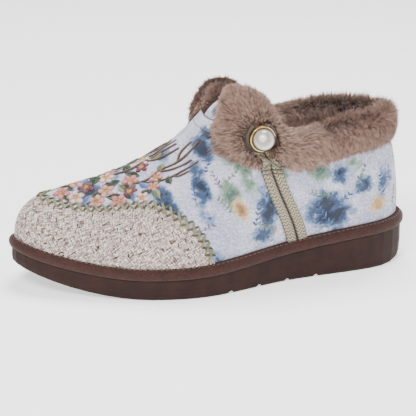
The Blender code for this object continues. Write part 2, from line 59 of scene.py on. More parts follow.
# Camera
CAMERA_AZIMUTH = math.radians(-17.25)
CAMERA_ELEVATION = math.radians(17.23)
CAMERA_DISTANCE = 0.97497
CAMERA_LENS = 134.2
CAMERA_SENSOR = 36.0
CAMERA_ROLL = math.radians(-0.57)
CAMERA_CENTRE = (0.0, 0.0023, 0.05)
CAMERA_RIGHT = -2.82 * MM
CAMERA_UP = -9.46 * MM

# Sole
SOLE_LENGTH = 258 * MM
SOLE_WIDTH = 98 * MM
HEEL_STACK = 24 * MM
FOREFOOT_STACK = 12.5 * MM
TOE_SPRING = 17 * MM
TOE_SPRING_START = 0.70
BAND_HEIGHT = 7.3 * MM
FEATHER_INSET = 5 * MM
GAP = 0.3 * MM

# Upper
UPPER_WALL = 2.2 * MM
COLLAR_HEIGHT = 90 * MM
THROAT_HEIGHT = 100 * MM
COLLAR_WIDTH = 64 * MM
CAP_THICKNESS = 1.2 * MM

SMALL_TURN = 0.001
SMALL_SHARE = 0.01
OUTLINE_COUNT = 64
SEED = 7

# The sole's outline
OUTLINE = (
    # along, across
    (0.000, 0.000),
    (0.040, -0.212),
    (0.160, -0.327),
    (0.370, -0.395),
    (0.551, -0.525),
    (0.840, -0.347),
    (1.000, 0.036),
    (0.900, 0.370),
    (0.700, 0.480),
    (0.420, 0.310),
    (0.160, 0.345),
    (0.040, 0.220),
)
TOE_ROW = 6

# How much of the heel's extra height the outsole keeps
WEDGE = (
    # along, share of the heel's extra height
    (0.00, 1.00),
    (0.20, 0.76),
    (0.42, 0.28),
    (0.62, 0.00),
    (0.82, -0.07),
    (1.00, -0.36),
)

# Sections of the upper
SECTIONS = (
    # turn, top along, top across, top rise, base out, base up, top forward, top side, top down
    (0.000, 0.048, 0.00, 0.00, 0.02, 0.35, -0.07, 0.00, 0.35),
    (0.050, 0.078, 0.53, 0.00, 0.03, 0.35, -0.06, 0.06, 0.35),
    (0.100, 0.159, 0.84, -0.03, 0.05, 0.35, 0.00, 0.12, 0.35),
    (0.180, 0.279, 0.97, -0.05, 0.05, 0.35, 0.05, 0.14, 0.33),
    (0.260, 0.372, 1.00, 0.10, 0.03, 0.36, 0.14, 0.16, 0.30),
    (0.330, 0.434, 0.92, 0.38, 0.03, 0.42, 0.30, 0.30, 0.30),
    (0.390, 0.481, 0.72, 0.71, 0.01, 0.45, 0.44, 0.22, 0.47),
    (0.445, 0.512, 0.55, 0.98, 0.03, 0.485, 0.56, 0.04, 0.70),
    (0.500, 0.523, 0.00, 1.00, 0.00, 0.635, 0.77, 0.00, 0.73),
)

# Edge of the toe cap
CAP_EDGE = (
    # turn, share of the section
    (0.271, 0.005),
    (0.283, 0.125),
    (0.300, 0.240),
    (0.330, 0.350),
    (0.362, 0.435),
    (0.388, 0.478),
    (0.408, 0.472),
    (0.430, 0.428),
    (0.458, 0.358),
    (0.480, 0.318),
    (0.500, 0.305),
)

# Suede bead of the midsole from its lower edge up
BEAD = (
    # inset in mm, share of the band's height
    (1.9, 0.00),
    (0.5, 0.10),
    (0.0, 0.36),
    (0.3, 0.62),
    (1.5, 0.86),
    (3.4, 0.98),
    (7.5, 1.00),
)


def smooth_curve(knots, values):
    """A cubic spline through the rows of a table, as a function of the knot."""
    knots = np.asarray(knots, float)
    values = np.asarray(values, float).reshape(len(knots), -1)
    steps = np.diff(knots)
    slopes = np.diff(values, axis=0) / steps[:, None]
    system = np.eye(len(knots))
    target = np.zeros_like(values)
    for row in range(1, len(knots) - 1):
        system[row, row - 1 : row + 2] = steps[row - 1], 2 * (steps[row - 1] + steps[row]), steps[row]
        target[row] = 6 * (slopes[row] - slopes[row - 1])
    bends = np.linalg.solve(system, target)

    def at(where):
        where = np.asarray(where, float)
        flat = np.clip(where.reshape(-1), knots[0], knots[-1])
        row = np.clip(np.searchsorted(knots, flat, side="right") - 1, 0, len(steps) - 1)
        step = steps[row][:, None]
        low = (knots[row + 1] - flat)[:, None] / step
        high = 1 - low
        bend = (low**3 - low) * bends[row] + (high**3 - high) * bends[row + 1]
        found = low * values[row] + high * values[row + 1] + bend * step**2 / 6
        return found.reshape(*where.shape, -1)

    return at


def smooth_loop(knots, values):
    knots = np.asarray(knots, float)
    values = np.asarray(values, float)
    at = smooth_curve(np.concatenate([knots - 1, knots, knots + 1]), np.concatenate([values] * 3))
    return lambda where: at(np.asarray(where, float) % 1)


def table_curve(rows):
    return smooth_curve([row[0] for row in rows], [row[1:] for row in rows])


def both_sides(rows):
    half = np.asarray(rows, float)
    back = half[1:-1][::-1].copy()
    back[:, 0] = 1 - back[:, 0]
    whole = np.concatenate([half, back])
    return smooth_loop(whole[:, 0], whole[:, 1:])


def outline_turns(points):
    chords = np.linalg.norm(np.diff(np.concatenate([points, points[:1]]), axis=0), axis=1)
    outer = np.cumsum(chords[:TOE_ROW]) / chords[:TOE_ROW].sum()
    inner = np.cumsum(chords[TOE_ROW:-1]) / chords[TOE_ROW:].sum()
    return np.concatenate([[0], outer / 2, 0.5 + inner / 2])


def stations(count):
    return np.arange(count) / count


def make_outline():
    """The outline, moved sideways so that its box is centred on the origin."""
    shares = np.array(OUTLINE)
    points = np.stack([SOLE_LENGTH * (0.5 - shares[:, 0]), SOLE_WIDTH * shares[:, 1]], axis=1)
    turns = outline_turns(points)
    found = smooth_loop(turns, points)(stations(OUTLINE_COUNT))
    middle = (found.min(axis=0) + found.max(axis=0)) / 2
    return smooth_loop(turns, points - middle), -middle[1]


def unit(vectors):
    return vectors / np.linalg.norm(vectors, axis=-1, keepdims=True)


OUTLINE_AT, SIDE_SHIFT = make_outline()
WEDGE_AT = table_curve(WEDGE)
SECTION_AT = both_sides(SECTIONS)
CAP_EDGE_AT = table_curve(CAP_EDGE)
BEAD_AT = table_curve([(row / (len(BEAD) - 1), *place) for row, place in enumerate(BEAD)])


def outward(turn):
    ahead = OUTLINE_AT(turn + SMALL_TURN) - OUTLINE_AT(turn - SMALL_TURN)
    return unit(np.stack([-ahead[..., 1], ahead[..., 0]], axis=-1))


def plan(turn, inset):
    return OUTLINE_AT(turn) - outward(turn) * np.asarray(inset)[..., None]


def along(x):
    return np.clip(0.5 - x / SOLE_LENGTH, 0, 1)


def toe_lift(x):
    toe = np.clip((along(x) - TOE_SPRING_START) / (1 - TOE_SPRING_START), 0, 1)
    return TOE_SPRING * toe**2


def outsole_top(x):
    return toe_lift(x) + FOREFOOT_STACK + (HEEL_STACK - FOREFOOT_STACK) * WEDGE_AT(along(x))[..., 0]


def deck_height(x):
    return outsole_top(x) + BAND_HEIGHT


def seated(points):
    points = points.copy()
    points[..., 2] = deck_height(points[..., 0]) + GAP
    return points


def section(turn, share):
    """A point of the upper's outer skin."""
    turn, share = np.broadcast_arrays(np.asarray(turn, float), np.asarray(share, float))
    row = SECTION_AT(turn)
    side = np.where(turn % 1 < 0.5, -1.0, 1.0)
    base = plan(turn, np.full(turn.shape, FEATHER_INSET))
    low = seated(np.concatenate([base, np.zeros((*turn.shape, 1))], axis=-1))
    top = np.stack(
        [
            SOLE_LENGTH * (0.5 - row[..., 0]),
            side * row[..., 1] * COLLAR_WIDTH / 2 + SIDE_SHIFT,
            COLLAR_HEIGHT + (THROAT_HEIGHT - COLLAR_HEIGHT) * row[..., 2],
        ],
        axis=-1,
    )
    height = (top[..., 2] - low[..., 2])[..., None]
    rise = np.concatenate([outward(turn) * row[..., 3:4], row[..., 4:5]], axis=-1)
    fall = np.stack([-row[..., 5], side * row[..., 6], -row[..., 7]], axis=-1)
    low_handle = low + height * rise
    top_handle = top + height * fall
    t = share[..., None]
    start = low * (1 - t) ** 3 + 3 * low_handle * t * (1 - t) ** 2
    return start + 3 * top_handle * t**2 * (1 - t) + top * t**3


def upper_normal(turn, share):
    round_way = section(turn + SMALL_TURN, share) - section(turn - SMALL_TURN, share)
    up_way = section(turn, share + SMALL_SHARE) - section(turn, share - SMALL_SHARE)
    return unit(np.cross(up_way, round_way))


def upper_point(turn, share, lift=0.0):
    turn, share = np.broadcast_arrays(np.asarray(turn, float), np.asarray(share, float))
    return section(turn, share) + upper_normal(turn, share) * np.asarray(lift)[..., None]


def cap_reach(turn):
    turn = turn % 1
    return CAP_EDGE_AT(np.where(turn > 0.5, 1 - turn, turn))[..., 0]


# Materials

# Numbers of the factor and the two colours among a mix node's inputs, and of its colour output
MIX_INPUTS = (0, 6, 7)
MIX_OUTPUT = 2


class Shader:
    """A short way to write a material's nodes."""

    def __init__(self, name, color=(0.8, 0.8, 0.8), roughness=0.8, **settings):
        self.material = bpy.data.materials.new(name)
        self.material.use_nodes = True
        self.nodes = self.material.node_tree.nodes
        self.links = self.material.node_tree.links
        self.surface = self.nodes["Principled BSDF"]
        self.set(self.surface, "Base Color", color)
        self.surface.inputs["Roughness"].default_value = roughness
        for key, value in settings.items():
            self.set(self.surface, key.replace("_", " "), value)

    def set(self, node, key, value):
        socket = node.inputs[key]
        if isinstance(value, bpy.types.NodeSocket):
            self.links.new(value, socket)
        elif isinstance(value, tuple) and socket.type == "RGBA":
            socket.default_value = (*value, 1.0)[:4]
        else:
            socket.default_value = value

    def node(self, kind, outputs=0, **inputs):
        made = self.nodes.new(kind)
        for key, value in inputs.items():
            if hasattr(made, key):
                setattr(made, key, value)
            else:
                self.set(made, key.replace("_", " "), value)
        return made.outputs[outputs]

    def attribute(self, name, output="Fac"):
        return self.node("ShaderNodeAttribute", output, attribute_name=name)

    def coordinates(self, kind="Object"):
        return self.node("ShaderNodeTexCoord", kind)

    def scaled(self, vector, scale, rotation=(0.0, 0.0, 0.0)):
        return self.node("ShaderNodeMapping", Vector=vector, Scale=scale, Rotation=rotation)

    def noise(self, vector, scale, detail=3.0, roughness=0.5, distortion=0.0):
        grain = {"Scale": scale, "Detail": detail, "Roughness": roughness, "Distortion": distortion}
        return self.node("ShaderNodeTexNoise", "Fac", Vector=vector, **grain)

    def bands(self, vector, lean, scale, distortion, **detail):
        """Waves in straight bands, turned by an angle in the plane of the cloth."""
        leaning = self.scaled(vector, (1.0, 1.0, 1.0), (0.0, 0.0, lean))
        waves = {"wave_type": "BANDS", "Scale": scale, "Distortion": distortion, **detail}
        return self.node("ShaderNodeTexWave", "Fac", Vector=leaning, **waves)

    def math(self, operation, first, second):
        made = self.nodes.new("ShaderNodeMath")
        made.operation = operation
        self.set(made, 0, first)
        self.set(made, 1, second)
        return made.outputs[0]

    def ramp(self, value, low, high, to_low=0.0, to_high=1.0):
        limits = {"From_Min": low, "From_Max": high, "To_Min": to_low, "To_Max": to_high}
        soft = {"interpolation_type": "SMOOTHSTEP", "Value": value, **limits}
        return self.node("ShaderNodeMapRange", "Result", **soft)

    def mix(self, share, first, second, kind="MIX"):
        made = self.nodes.new("ShaderNodeMix")
        made.data_type = "RGBA"
        made.blend_type = kind
        made.clamp_factor = True
        for key, value in zip(MIX_INPUTS, (share, first, second)):
            self.set(made, key, value)
        return made.outputs[MIX_OUTPUT]

    def bump(self, height, strength, distance):
        relief = {"Height": height, "Strength": strength, "Distance": distance}
        self.set(self.surface, "Normal", self.node("ShaderNodeBump", "Normal", **relief))

    def paint(self, color):
        self.set(self.surface, "Base Color", color)


def srgb(red, green, blue):
    """A colour given as it looks on a screen, 0 to 255, as the light it stands for."""
    found = []
    for value in (red, green, blue):
        value = value / 255
        found.append(value / 12.92 if value <= 0.04045 else ((value + 0.055) / 1.055) ** 2.4)
    return tuple(found)


# Meshes


def linked(name, data):
    obj = bpy.data.objects.new(name, data)
    bpy.context.scene.collection.objects.link(obj)
    return obj


def show(name, mesh, material, replaces=()):
    """An object for a finished mesh. It rides on the one body and stands for the solids it replaces."""
    mesh.materials.append(material)
    mesh.shade_smooth()
    obj = linked(name, mesh)
    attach(obj, "root")
    for node in replaces:
        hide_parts(node)
    return obj


def point_values(mesh, key, values):
    """Keep a number for each point of a mesh, for its material to read."""
    flat = np.ascontiguousarray(values, np.float32).reshape(-1)
    mesh.attributes.new(key, "FLOAT", "POINT").data.foreach_set("value", flat)


def mesh_object(name, points, faces, material, replaces=(), uv=None, colors=None):
    """One object from points and faces. uv holds a pair for each face corner, colors numbers by point."""
    mesh = bpy.data.meshes.new(name)
    if not isinstance(faces, list):
        faces = faces.tolist()
    mesh.from_pydata(np.asarray(points).reshape(-1, 3).tolist(), [], faces)
    if uv is not None:
        layer = mesh.uv_layers.new(name="UVMap")
        layer.data.foreach_set("uv", np.asarray(uv, np.float32).reshape(-1))
    for key, values in (colors or {}).items():
        point_values(mesh, key, values)
    return show(name, mesh, material, replaces)


def mend(mesh, merge=0.0, fill=False):
    """Join points that meet, close open ends and turn all faces outward."""
    work = bmesh.new()
    work.from_mesh(mesh)
    if merge:
        bmesh.ops.remove_doubles(work, verts=work.verts, dist=merge)
    if fill:
        bmesh.ops.holes_fill(work, edges=work.edges, sides=0)
    bmesh.ops.recalc_face_normals(work, faces=work.faces)
    work.to_mesh(mesh)
    work.free()


def grid_cells(rows, columns, wrap):
    """Row, column and next column of each cell of a grid, row by row."""
    across = columns if wrap else columns - 1
    row, column = np.meshgrid(np.arange(rows - 1), np.arange(across), indexing="ij")
    row, column = row.reshape(-1), column.reshape(-1)
    return row, column, (column + 1) % columns


def grid_faces(rows, columns, wrap=False, start=0):
    """Quads of a grid of points, row by row."""
    row, here, there = grid_cells(rows, columns, wrap)
    low, high = row * columns, (row + 1) * columns
    return np.stack((low + here, low + there, high + there, high + here), axis=1) + start


def grid_uv(u, v, wrap=False):
    """The pair for each corner of grid_faces. u is one column longer than v where the grid wraps."""
    row, here, there = grid_cells(*v.shape, wrap)
    corners = ((row, here, here), (row, here + 1, there), (row + 1, here + 1, there), (row + 1, here, here))
    found = [np.stack([u[at_row, at_u], v[at_row, at_v]], axis=1) for at_row, at_u, at_v in corners]
    return np.stack(found, axis=1)


def arc_lengths(points, axis):
    steps = np.linalg.norm(np.diff(points, axis=axis), axis=-1)
    start = np.zeros_like(np.take(steps, [0], axis=axis))
    return np.concatenate([start, np.cumsum(steps, axis=axis)], axis=axis)


def make_camera():
    data = bpy.data.cameras.new("camera")
    data.sensor_width = CAMERA_SENSOR
    data.lens = CAMERA_LENS
    camera = linked("camera", data)
    level = math.cos(CAMERA_ELEVATION)
    sideways = math.sin(CAMERA_AZIMUTH) * level
    back = Vector((sideways, -math.cos(CAMERA_AZIMUTH) * level, math.sin(CAMERA_ELEVATION)))
    centre = Vector(CAMERA_CENTRE)
    place = centre + back * CAMERA_DISTANCE
    right = Vector((0, 0, 1)).cross(back).normalized()
    target = centre + right * CAMERA_RIGHT + back.cross(right) * CAMERA_UP
    facing = (target - place).to_track_quat("-Z", "Y").to_matrix()
    turned = (facing @ Matrix.Rotation(-CAMERA_ROLL, 3, "Z")).to_4x4()
    camera.matrix_world = Matrix.Translation(place) @ turned
    bpy.context.scene.camera = camera


FLOOR_HALF = 4.0
FLOOR_GLOW = 1.0
WORLD_STRENGTH = 0.34
WHITE = (1.0, 1.0, 1.0)
LAMP_TARGET = (0, 0, 0.05)


def make_studio():
    mesh = bpy.data.meshes.new("floor")
    corners = ((-1, -1, 0), (1, -1, 0), (1, 1, 0), (-1, 1, 0))
    mesh.from_pydata((np.array(corners) * FLOOR_HALF).tolist(), [], [(0, 1, 2, 3)])
    glow = {"Emission_Color": WHITE, "Emission_Strength": FLOOR_GLOW}
    mesh.materials.append(Shader("floor_white", srgb(252, 252, 252), 0.9, **glow).material)
    linked("floor", mesh)
    world = bpy.data.worlds.new("studio")
    world.use_nodes = True
    background = world.node_tree.nodes["Background"]
    background.inputs["Color"].default_value = (*WHITE, 1.0)
    background.inputs["Strength"].default_value = WORLD_STRENGTH
    bpy.context.scene.world = world
    lamps = (
        # name, place, size, power
        ("key_light", (-0.75, -1.0, 1.3), 0.55, 34.0),
        ("fill_light", (1.3, -1.0, 0.7), 0.8, 9.0),
        ("top_light", (0.2, 0.4, 1.7), 0.8, 40.0),
    )
    for name, place, width, power in lamps:
        data = bpy.data.lights.new(name, "AREA")
        data.size = width
        data.energy = power
        lamp = linked(name, data)
        lamp.location = place
        lamp.rotation_euler = (Vector(LAMP_TARGET) - Vector(place)).to_track_quat("-Z", "Y").to_euler()


# Creases of the cloth, each a soft trough along a few places of the upper, pressed in by a depth
CREASES = (
    # depth in mm, half width in mm, places as turn and share
    (0.9, 4.5, ((0.400, 0.90), (0.425, 0.84), (0.455, 0.80), (0.500, 0.79), (0.545, 0.80), (0.580, 0.84))),
    (0.7, 4.0, ((0.372, 0.72), (0.400, 0.72), (0.430, 0.71), (0.470, 0.68))),
    (0.6, 3.5, ((0.320, 0.62), (0.350, 0.60), (0.380, 0.62))),
    (0.8, 5.0, ((0.215, 0.50), (0.180, 0.56), (0.140, 0.58))),
    (0.7, 4.0, ((0.205, 0.22), (0.175, 0.20), (0.140, 0.24))),
    (0.6, 4.0, ((0.090, 0.30), (0.060, 0.33), (0.030, 0.30))),
    (0.7, 4.5, ((0.640, 0.70), (0.610, 0.68), (0.570, 0.66))),
    (0.8, 5.0, ((0.800, 0.52), (0.840, 0.56), (0.880, 0.52))),
    (0.6, 4.0, ((0.710, 0.34), (0.740, 0.30), (0.775, 0.33))),
    (0.6, 4.0, ((0.915, 0.30), (0.945, 0.34), (0.975, 0.30))),
    (-0.6, 6.0, ((0.300, 0.30), (0.330, 0.48), (0.350, 0.66))),
    (-0.5, 6.0, ((0.190, 0.34), (0.150, 0.38), (0.110, 0.36))),
    (-0.5, 6.0, ((0.700, 0.45), (0.660, 0.55), (0.630, 0.62))),
)


def path_distance(points, path):
    """How far each point lies from a path of straight stretches."""
    best = np.full(points.shape[:-1], np.inf)
    for start, end in zip(path, path[1:]):
        way = end - start
        share = np.clip(((points - start) @ way) / (way @ way), 0, 1)
        best = np.minimum(best, np.linalg.norm(points - start - share[..., None] * way, axis=-1))
    return best


def crease_paths():
    """Each crease as its depth, half width and path over the skin."""
    found = []
    for depth, width, places in CREASES:
        turns, shares = np.array(places).T
        fine = np.linspace(0, 1, 5 * len(places))
        knots = np.linspace(0, 1, len(places))
        path = section(smooth_curve(knots, turns)(fine)[:, 0], smooth_curve(knots, shares)(fine)[:, 0])
        found.append((depth * MM, width * MM, path))
    return found


CREASE_PATHS = crease_paths()


def crease_lift(points):
    """How far the cloth stands out at each point of the upper's skin."""
    lift = np.zeros(points.shape[:-1])
    for depth, width, path in CREASE_PATHS:
        lift -= depth * np.exp(-((path_distance(points, path) / width) ** 2))
    return lift


# Washes of colour in the print, each a soft patch round a place of the upper
WASHES = (
    # kind, turn, share, half length in mm, half height in mm, strength
    ("blue", 0.437, 0.90, 11, 6, 1.0),
    ("blue", 0.448, 0.955, 9, 4, 0.8),
    ("blue", 0.352, 0.62, 7, 9, 0.75),
    ("blue", 0.395, 0.77, 8, 6, 0.7),
    ("blue", 0.375, 0.50, 13, 6, 0.8),
    ("blue", 0.221, 0.40, 9, 11, 0.85),
    ("blue", 0.212, 0.14, 10, 6, 0.55),
    ("blue", 0.133, 0.62, 9, 8, 0.7),
    ("blue", 0.132, 0.24, 17, 13, 0.95),
    ("blue", 0.094, 0.45, 8, 7, 0.6),
    ("blue", 0.063, 0.46, 8, 10, 0.7),
    ("blue", 0.300, 0.36, 9, 6, 0.45),
    ("blue", 0.463, 0.48, 14, 7, 0.85),
    ("blue", 0.500, 0.66, 10, 6, 0.55),
    ("blue", 0.480, 0.82, 9, 7, 0.5),
    ("blue", 0.268, 0.05, 10, 5, 0.45),
    ("blue", 0.560, 0.60, 14, 8, 0.8),
    ("blue", 0.610, 0.84, 11, 7, 0.8),
    ("blue", 0.640, 0.48, 15, 9, 0.8),
    ("blue", 0.700, 0.70, 12, 9, 0.8),
    ("blue", 0.745, 0.30, 14, 10, 0.9),
    ("blue", 0.800, 0.66, 10, 8, 0.6),
    ("blue", 0.850, 0.28, 16, 12, 0.9),
    ("blue", 0.905, 0.58, 10, 9, 0.7),
    ("blue", 0.965, 0.34, 11, 9, 0.6),
    ("green", 0.325, 0.80, 12, 7, 0.8),
    ("green", 0.290, 0.53, 8, 7, 0.7),
    ("green", 0.276, 0.64, 8, 6, 0.6),
    ("green", 0.160, 0.68, 14, 7, 0.75),
    ("green", 0.425, 0.96, 8, 5, 0.6),
    ("green", 0.235, 0.72, 9, 5, 0.5),
    ("green", 0.110, 0.70, 8, 6, 0.45),
    ("green", 0.590, 0.72, 12, 7, 0.7),
    ("green", 0.680, 0.36, 12, 9, 0.7),
    ("green", 0.780, 0.48, 10, 8, 0.6),
    ("green", 0.930, 0.66, 12, 7, 0.6),
    ("ochre", 0.262, 0.42, 6, 5, 0.85),
    ("ochre", 0.206, 0.17, 7, 4, 0.8),
    ("ochre", 0.074, 0.20, 10, 8, 0.45),
    ("ochre", 0.625, 0.62, 8, 6, 0.6),
    ("ochre", 0.820, 0.42, 9, 6, 0.6),
    ("ochre", 0.960, 0.62, 8, 6, 0.45),
    ("lilac", 0.350, 0.56, 18, 14, 0.8),
    ("lilac", 0.180, 0.45, 16, 14, 0.6),
    ("lilac", 0.290, 0.20, 20, 10, 0.7),
    ("lilac", 0.090, 0.10, 14, 10, 0.6),
    ("lilac", 0.440, 0.62, 16, 10, 0.5),
    ("lilac", 0.720, 0.55, 20, 14, 0.7),
    ("lilac", 0.880, 0.45, 18, 12, 0.6),
)


def wash_masks(points):
    """How strong each kind of wash is at each point."""
    masks = {}
    for kind, at_turn, at_share, length, height, strength in WASHES:
        middle = section(at_turn, at_share)
        ahead = unit(section(at_turn + SMALL_TURN, at_share) - section(at_turn - SMALL_TURN, at_share))
        up = unit(section(at_turn, at_share + SMALL_SHARE) - section(at_turn, at_share - SMALL_SHARE))
        away = points - middle
        reach = ((away @ ahead) / (length * MM)) ** 2 + ((away @ up) / (height * MM)) ** 2
        lift = (away @ np.cross(up, ahead)) / (20 * MM)
        value = strength * np.exp(-reach - lift**2)
        masks[kind] = np.maximum(masks.get(kind, 0.0), value)
    return masks


def cloth_shader(name):
    """Fine cotton with washes of colour that break up at their edges."""
    shader = Shader(name, roughness=0.82, Sheen_Weight=0.25, Sheen_Roughness=0.5)
    place = shader.coordinates()
    uv = shader.coordinates("UV")
    warm = shader.noise(place, 55.0, 6.0, 0.68, 0.5)
    color = shader.mix(shader.ramp(warm, 0.38, 0.64), srgb(170, 173, 196), srgb(214, 212, 224))
    clouds = shader.ramp(shader.noise(place, 120.0, 5.0), 0.35, 0.6)
    lilac = shader.math("MULTIPLY", shader.attribute("lilac"), clouds)
    color = shader.mix(shader.math("MULTIPLY", lilac, 0.9), color, srgb(178, 172, 204))
    speckle = shader.noise(uv, 640.0, 2.0, 0.7)
    color = shader.mix(shader.ramp(speckle, 0.46, 0.62, 0.0, 0.6), color, srgb(136, 134, 160))
    color = shader.mix(shader.ramp(speckle, 0.46, 0.34, 0.0, 0.6), color, srgb(240, 240, 246))
    broken = shader.noise(place, 170.0, 6.0, 0.68, 1.2)
    coarse = shader.noise(place, 62.0, 4.0, 0.6, 0.8)
    rough = shader.math("ADD", shader.math("MULTIPLY", broken, 0.5), shader.math("MULTIPLY", coarse, 0.5))
    spread = shader.math("MULTIPLY", shader.math("SUBTRACT", rough, 0.5), 2.4)
    for kind, pale, middle, deep in (
        ("green", srgb(142, 162, 152), srgb(104, 128, 106), srgb(58, 88, 84)),
        ("ochre", srgb(204, 178, 136), srgb(176, 134, 84), srgb(128, 88, 54)),
        ("blue", srgb(108, 131, 165), srgb(37, 62, 98), srgb(10, 21, 44)),
    ):
        mask = shader.attribute(kind)
        level = shader.math("ADD", shader.math("MULTIPLY", mask, 1.05), spread)
        inside = shader.ramp(mask, 0.05, 0.3)
        steps = ((0.24, 0.42, 0.9, pale), (0.42, 0.58, 0.92, middle), (0.62, 0.84, 0.95, deep))
        for low, high, strength, tone in steps:
            share = shader.math("MULTIPLY", shader.ramp(level, low, high, 0.0, strength), inside)
            color = shader.mix(share, color, tone)
    threads = [
        shader.bands(uv, lean, 420.0, 1.2, Detail=2.0, Detail_Scale=1.5) for lean in (0.0, math.pi / 2)
    ]
    weave = shader.math("MULTIPLY", *threads)
    woven = shader.mix(weave, srgb(150, 152, 170), srgb(245, 245, 250))
    shader.paint(shader.mix(0.14, color, woven, "MULTIPLY"))
    height = shader.math("ADD", weave, shader.math("MULTIPLY", speckle, 0.8))
    shader.bump(height, 0.35, 0.25 * MM)
    return shader.material


UPPER_COLUMNS = 480
UPPER_SKIN_ROWS = 92
LINING_ROWS = 24


def make_upper():
    turn = stations(UPPER_COLUMNS)[None, :]
    share = np.linspace(0, 1, UPPER_SKIN_ROWS)[:, None]
    skin = section(turn, share)
    lift = crease_lift(skin) * np.minimum(1, np.minimum(share, 1 - share) / 0.08)
    skin = upper_point(turn, share, lift)
    lining_share = np.linspace(1, 0, LINING_ROWS)[:, None]
    lining = upper_point(turn, lining_share, -UPPER_WALL)
    points = np.concatenate([skin, lining])
    rows = len(points)
    faces = grid_faces(rows, UPPER_COLUMNS, wrap=True)
    base = np.stack([np.arange(UPPER_COLUMNS), (np.arange(UPPER_COLUMNS) + 1) % UPPER_COLUMNS], axis=1)
    last = (rows - 1) * UPPER_COLUMNS
    closing = np.stack([base[:, 1], base[:, 0], base[:, 0] + last, base[:, 1] + last], axis=1)
    around = OUTLINE_AT(np.linspace(0, 1, UPPER_COLUMNS + 1))
    run = arc_lengths(around, 0)
    u = np.broadcast_to(run[None, :], (rows, UPPER_COLUMNS + 1))
    v = arc_lengths(points, 0)
    uv = grid_uv(u, v, wrap=True)
    uv = np.concatenate([uv, np.zeros((UPPER_COLUMNS, 4, 2))])
    colors = {}
    for kind, value in wash_masks(skin).items():
        colors[kind] = np.zeros((rows, UPPER_COLUMNS))
        colors[kind][:UPPER_SKIN_ROWS] = value
    upper = mesh_object(
        "upper_cloth",
        points,
        np.concatenate([faces, closing]),
        cloth_shader("printed_cotton"),
        replaces=("upper",),
        uv=uv,
        colors=colors,
    )
    lining_material = Shader("lining_plush", srgb(150, 124, 112), 0.95, Sheen_Weight=0.4).material
    upper.data.materials.append(lining_material)
    inner_faces = np.zeros(len(upper.data.polygons), np.int32)
    inner_faces[UPPER_COLUMNS * UPPER_SKIN_ROWS :] = 1
    upper.data.polygons.foreach_set("material_index", inner_faces)
    upper.data.update()


def cloth_point(turn, share, lift=0.0):
    """A point over the creased cloth."""
    turn, share = np.broadcast_arrays(np.asarray(turn, float), np.asarray(share, float))
    skin = section(turn, share)
    still = np.clip(np.minimum(share, 1 - share) / 0.08, 0, 1)
    return upper_point(turn, share, crease_lift(skin) * still + lift)


def moved(turn, share, ahead, up):
    """The turn and share a few millimetres on: ahead runs towards a greater turn, up towards the top edge."""
    by_turn = (section(turn + SMALL_TURN, share) - section(turn - SMALL_TURN, share)) / (2 * SMALL_TURN)
    by_share = (section(turn, share + SMALL_SHARE) - section(turn, share - SMALL_SHARE)) / (2 * SMALL_SHARE)
    first = unit(by_turn)
    lean = np.sum(by_share * first, axis=-1)
    across = np.linalg.norm(by_share - first * lean[..., None], axis=-1)
    share_step = np.asarray(up) * MM / across
    turn_step = (np.asarray(ahead) * MM - share_step * lean) / np.linalg.norm(by_turn, axis=-1)
    return turn + turn_step, share + share_step


class Threads:
    """Many thin round threads gathered into one mesh."""

    def __init__(self, sides=5):
        self.sides = sides
        self.points = []
        self.faces = []
        self.tints = []
        self.count = 0

    def add(self, path, radius, tint=0.5, taper=0.0, flat=1.0, up=None):
        """A thread along path. taper thins its ends, flat presses it down against the direction up."""
        path = np.asarray(path, float)
        length = len(path)
        way = unit(np.gradient(path, axis=0))
        if up is None:
            up = np.array([0.3, -0.5, 0.8])
        across = unit(np.cross(way, up))
        rise = np.cross(across, way)
        ends = np.linspace(0, 1, length)
        width = radius * (1 - taper + taper * np.sin(math.pi * (0.04 + 0.92 * ends)))
        angles = np.arange(self.sides) * 2 * math.pi / self.sides
        ring = across[:, None] * np.cos(angles)[None, :, None]
        ring = ring + flat * rise[:, None] * np.sin(angles)[None, :, None]
        points = path[:, None] + ring * width[:, None, None]
        caps = np.stack([path[0], path[-1]])
        self.points.append(np.concatenate([points.reshape(-1, 3), caps]))
        faces = grid_faces(length, self.sides, wrap=True, start=self.count)
        here = np.arange(self.sides)
        there = (here + 1) % self.sides
        first_cap = self.count + length * self.sides
        last = self.count + (length - 1) * self.sides
        tips = [(first_cap, self.count + b, self.count + a) for a, b in zip(here, there)]
        tips += [(first_cap + 1, last + a, last + b) for a, b in zip(here, there)]
        self.faces.extend(faces.tolist())
        self.faces.extend(tips)
        tint = np.broadcast_to(tint, length)
        self.tints.append(np.concatenate([np.repeat(tint, self.sides), tint[[0, -1]]]))
        self.count += length * self.sides + 2

    def finish(self, name, material, slot=None):
        colors = {"tint": np.concatenate(self.tints)}
        mesh_object(name, np.concatenate(self.points), self.faces, material, colors=colors)


def thread_shader(name, dark, light, sheen=0.2, roughness=0.55):
    shader = Shader(name, roughness=roughness, Sheen_Weight=sheen)
    color = shader.mix(shader.attribute("tint"), dark, light)
    fine = shader.noise(shader.coordinates(), 1400.0, 2.0)
    shader.paint(shader.mix(shader.ramp(fine, 0.3, 0.7, 0.0, 0.35), color, dark))
    shader.bump(fine, 0.3, 0.1 * MM)
    return shader.material


# Toe cap

CAP_COLUMNS = 360
CAP_FINE_ROWS = 56
CAP_EDGE_ROUND = 1.1 * MM


def cap_lift(turn, share):
    """How high the cap's outer face stands over the upper's skin, falling off in a round at its edge."""
    reach = cap_reach(turn)
    length = np.linalg.norm(section(turn, reach) - section(turn, share), axis=-1)
    close = np.clip(length / CAP_EDGE_ROUND, 0, 1)
    return (GAP + CAP_THICKNESS) * (0.25 + 0.75 * np.sqrt(1 - (1 - close) ** 2))


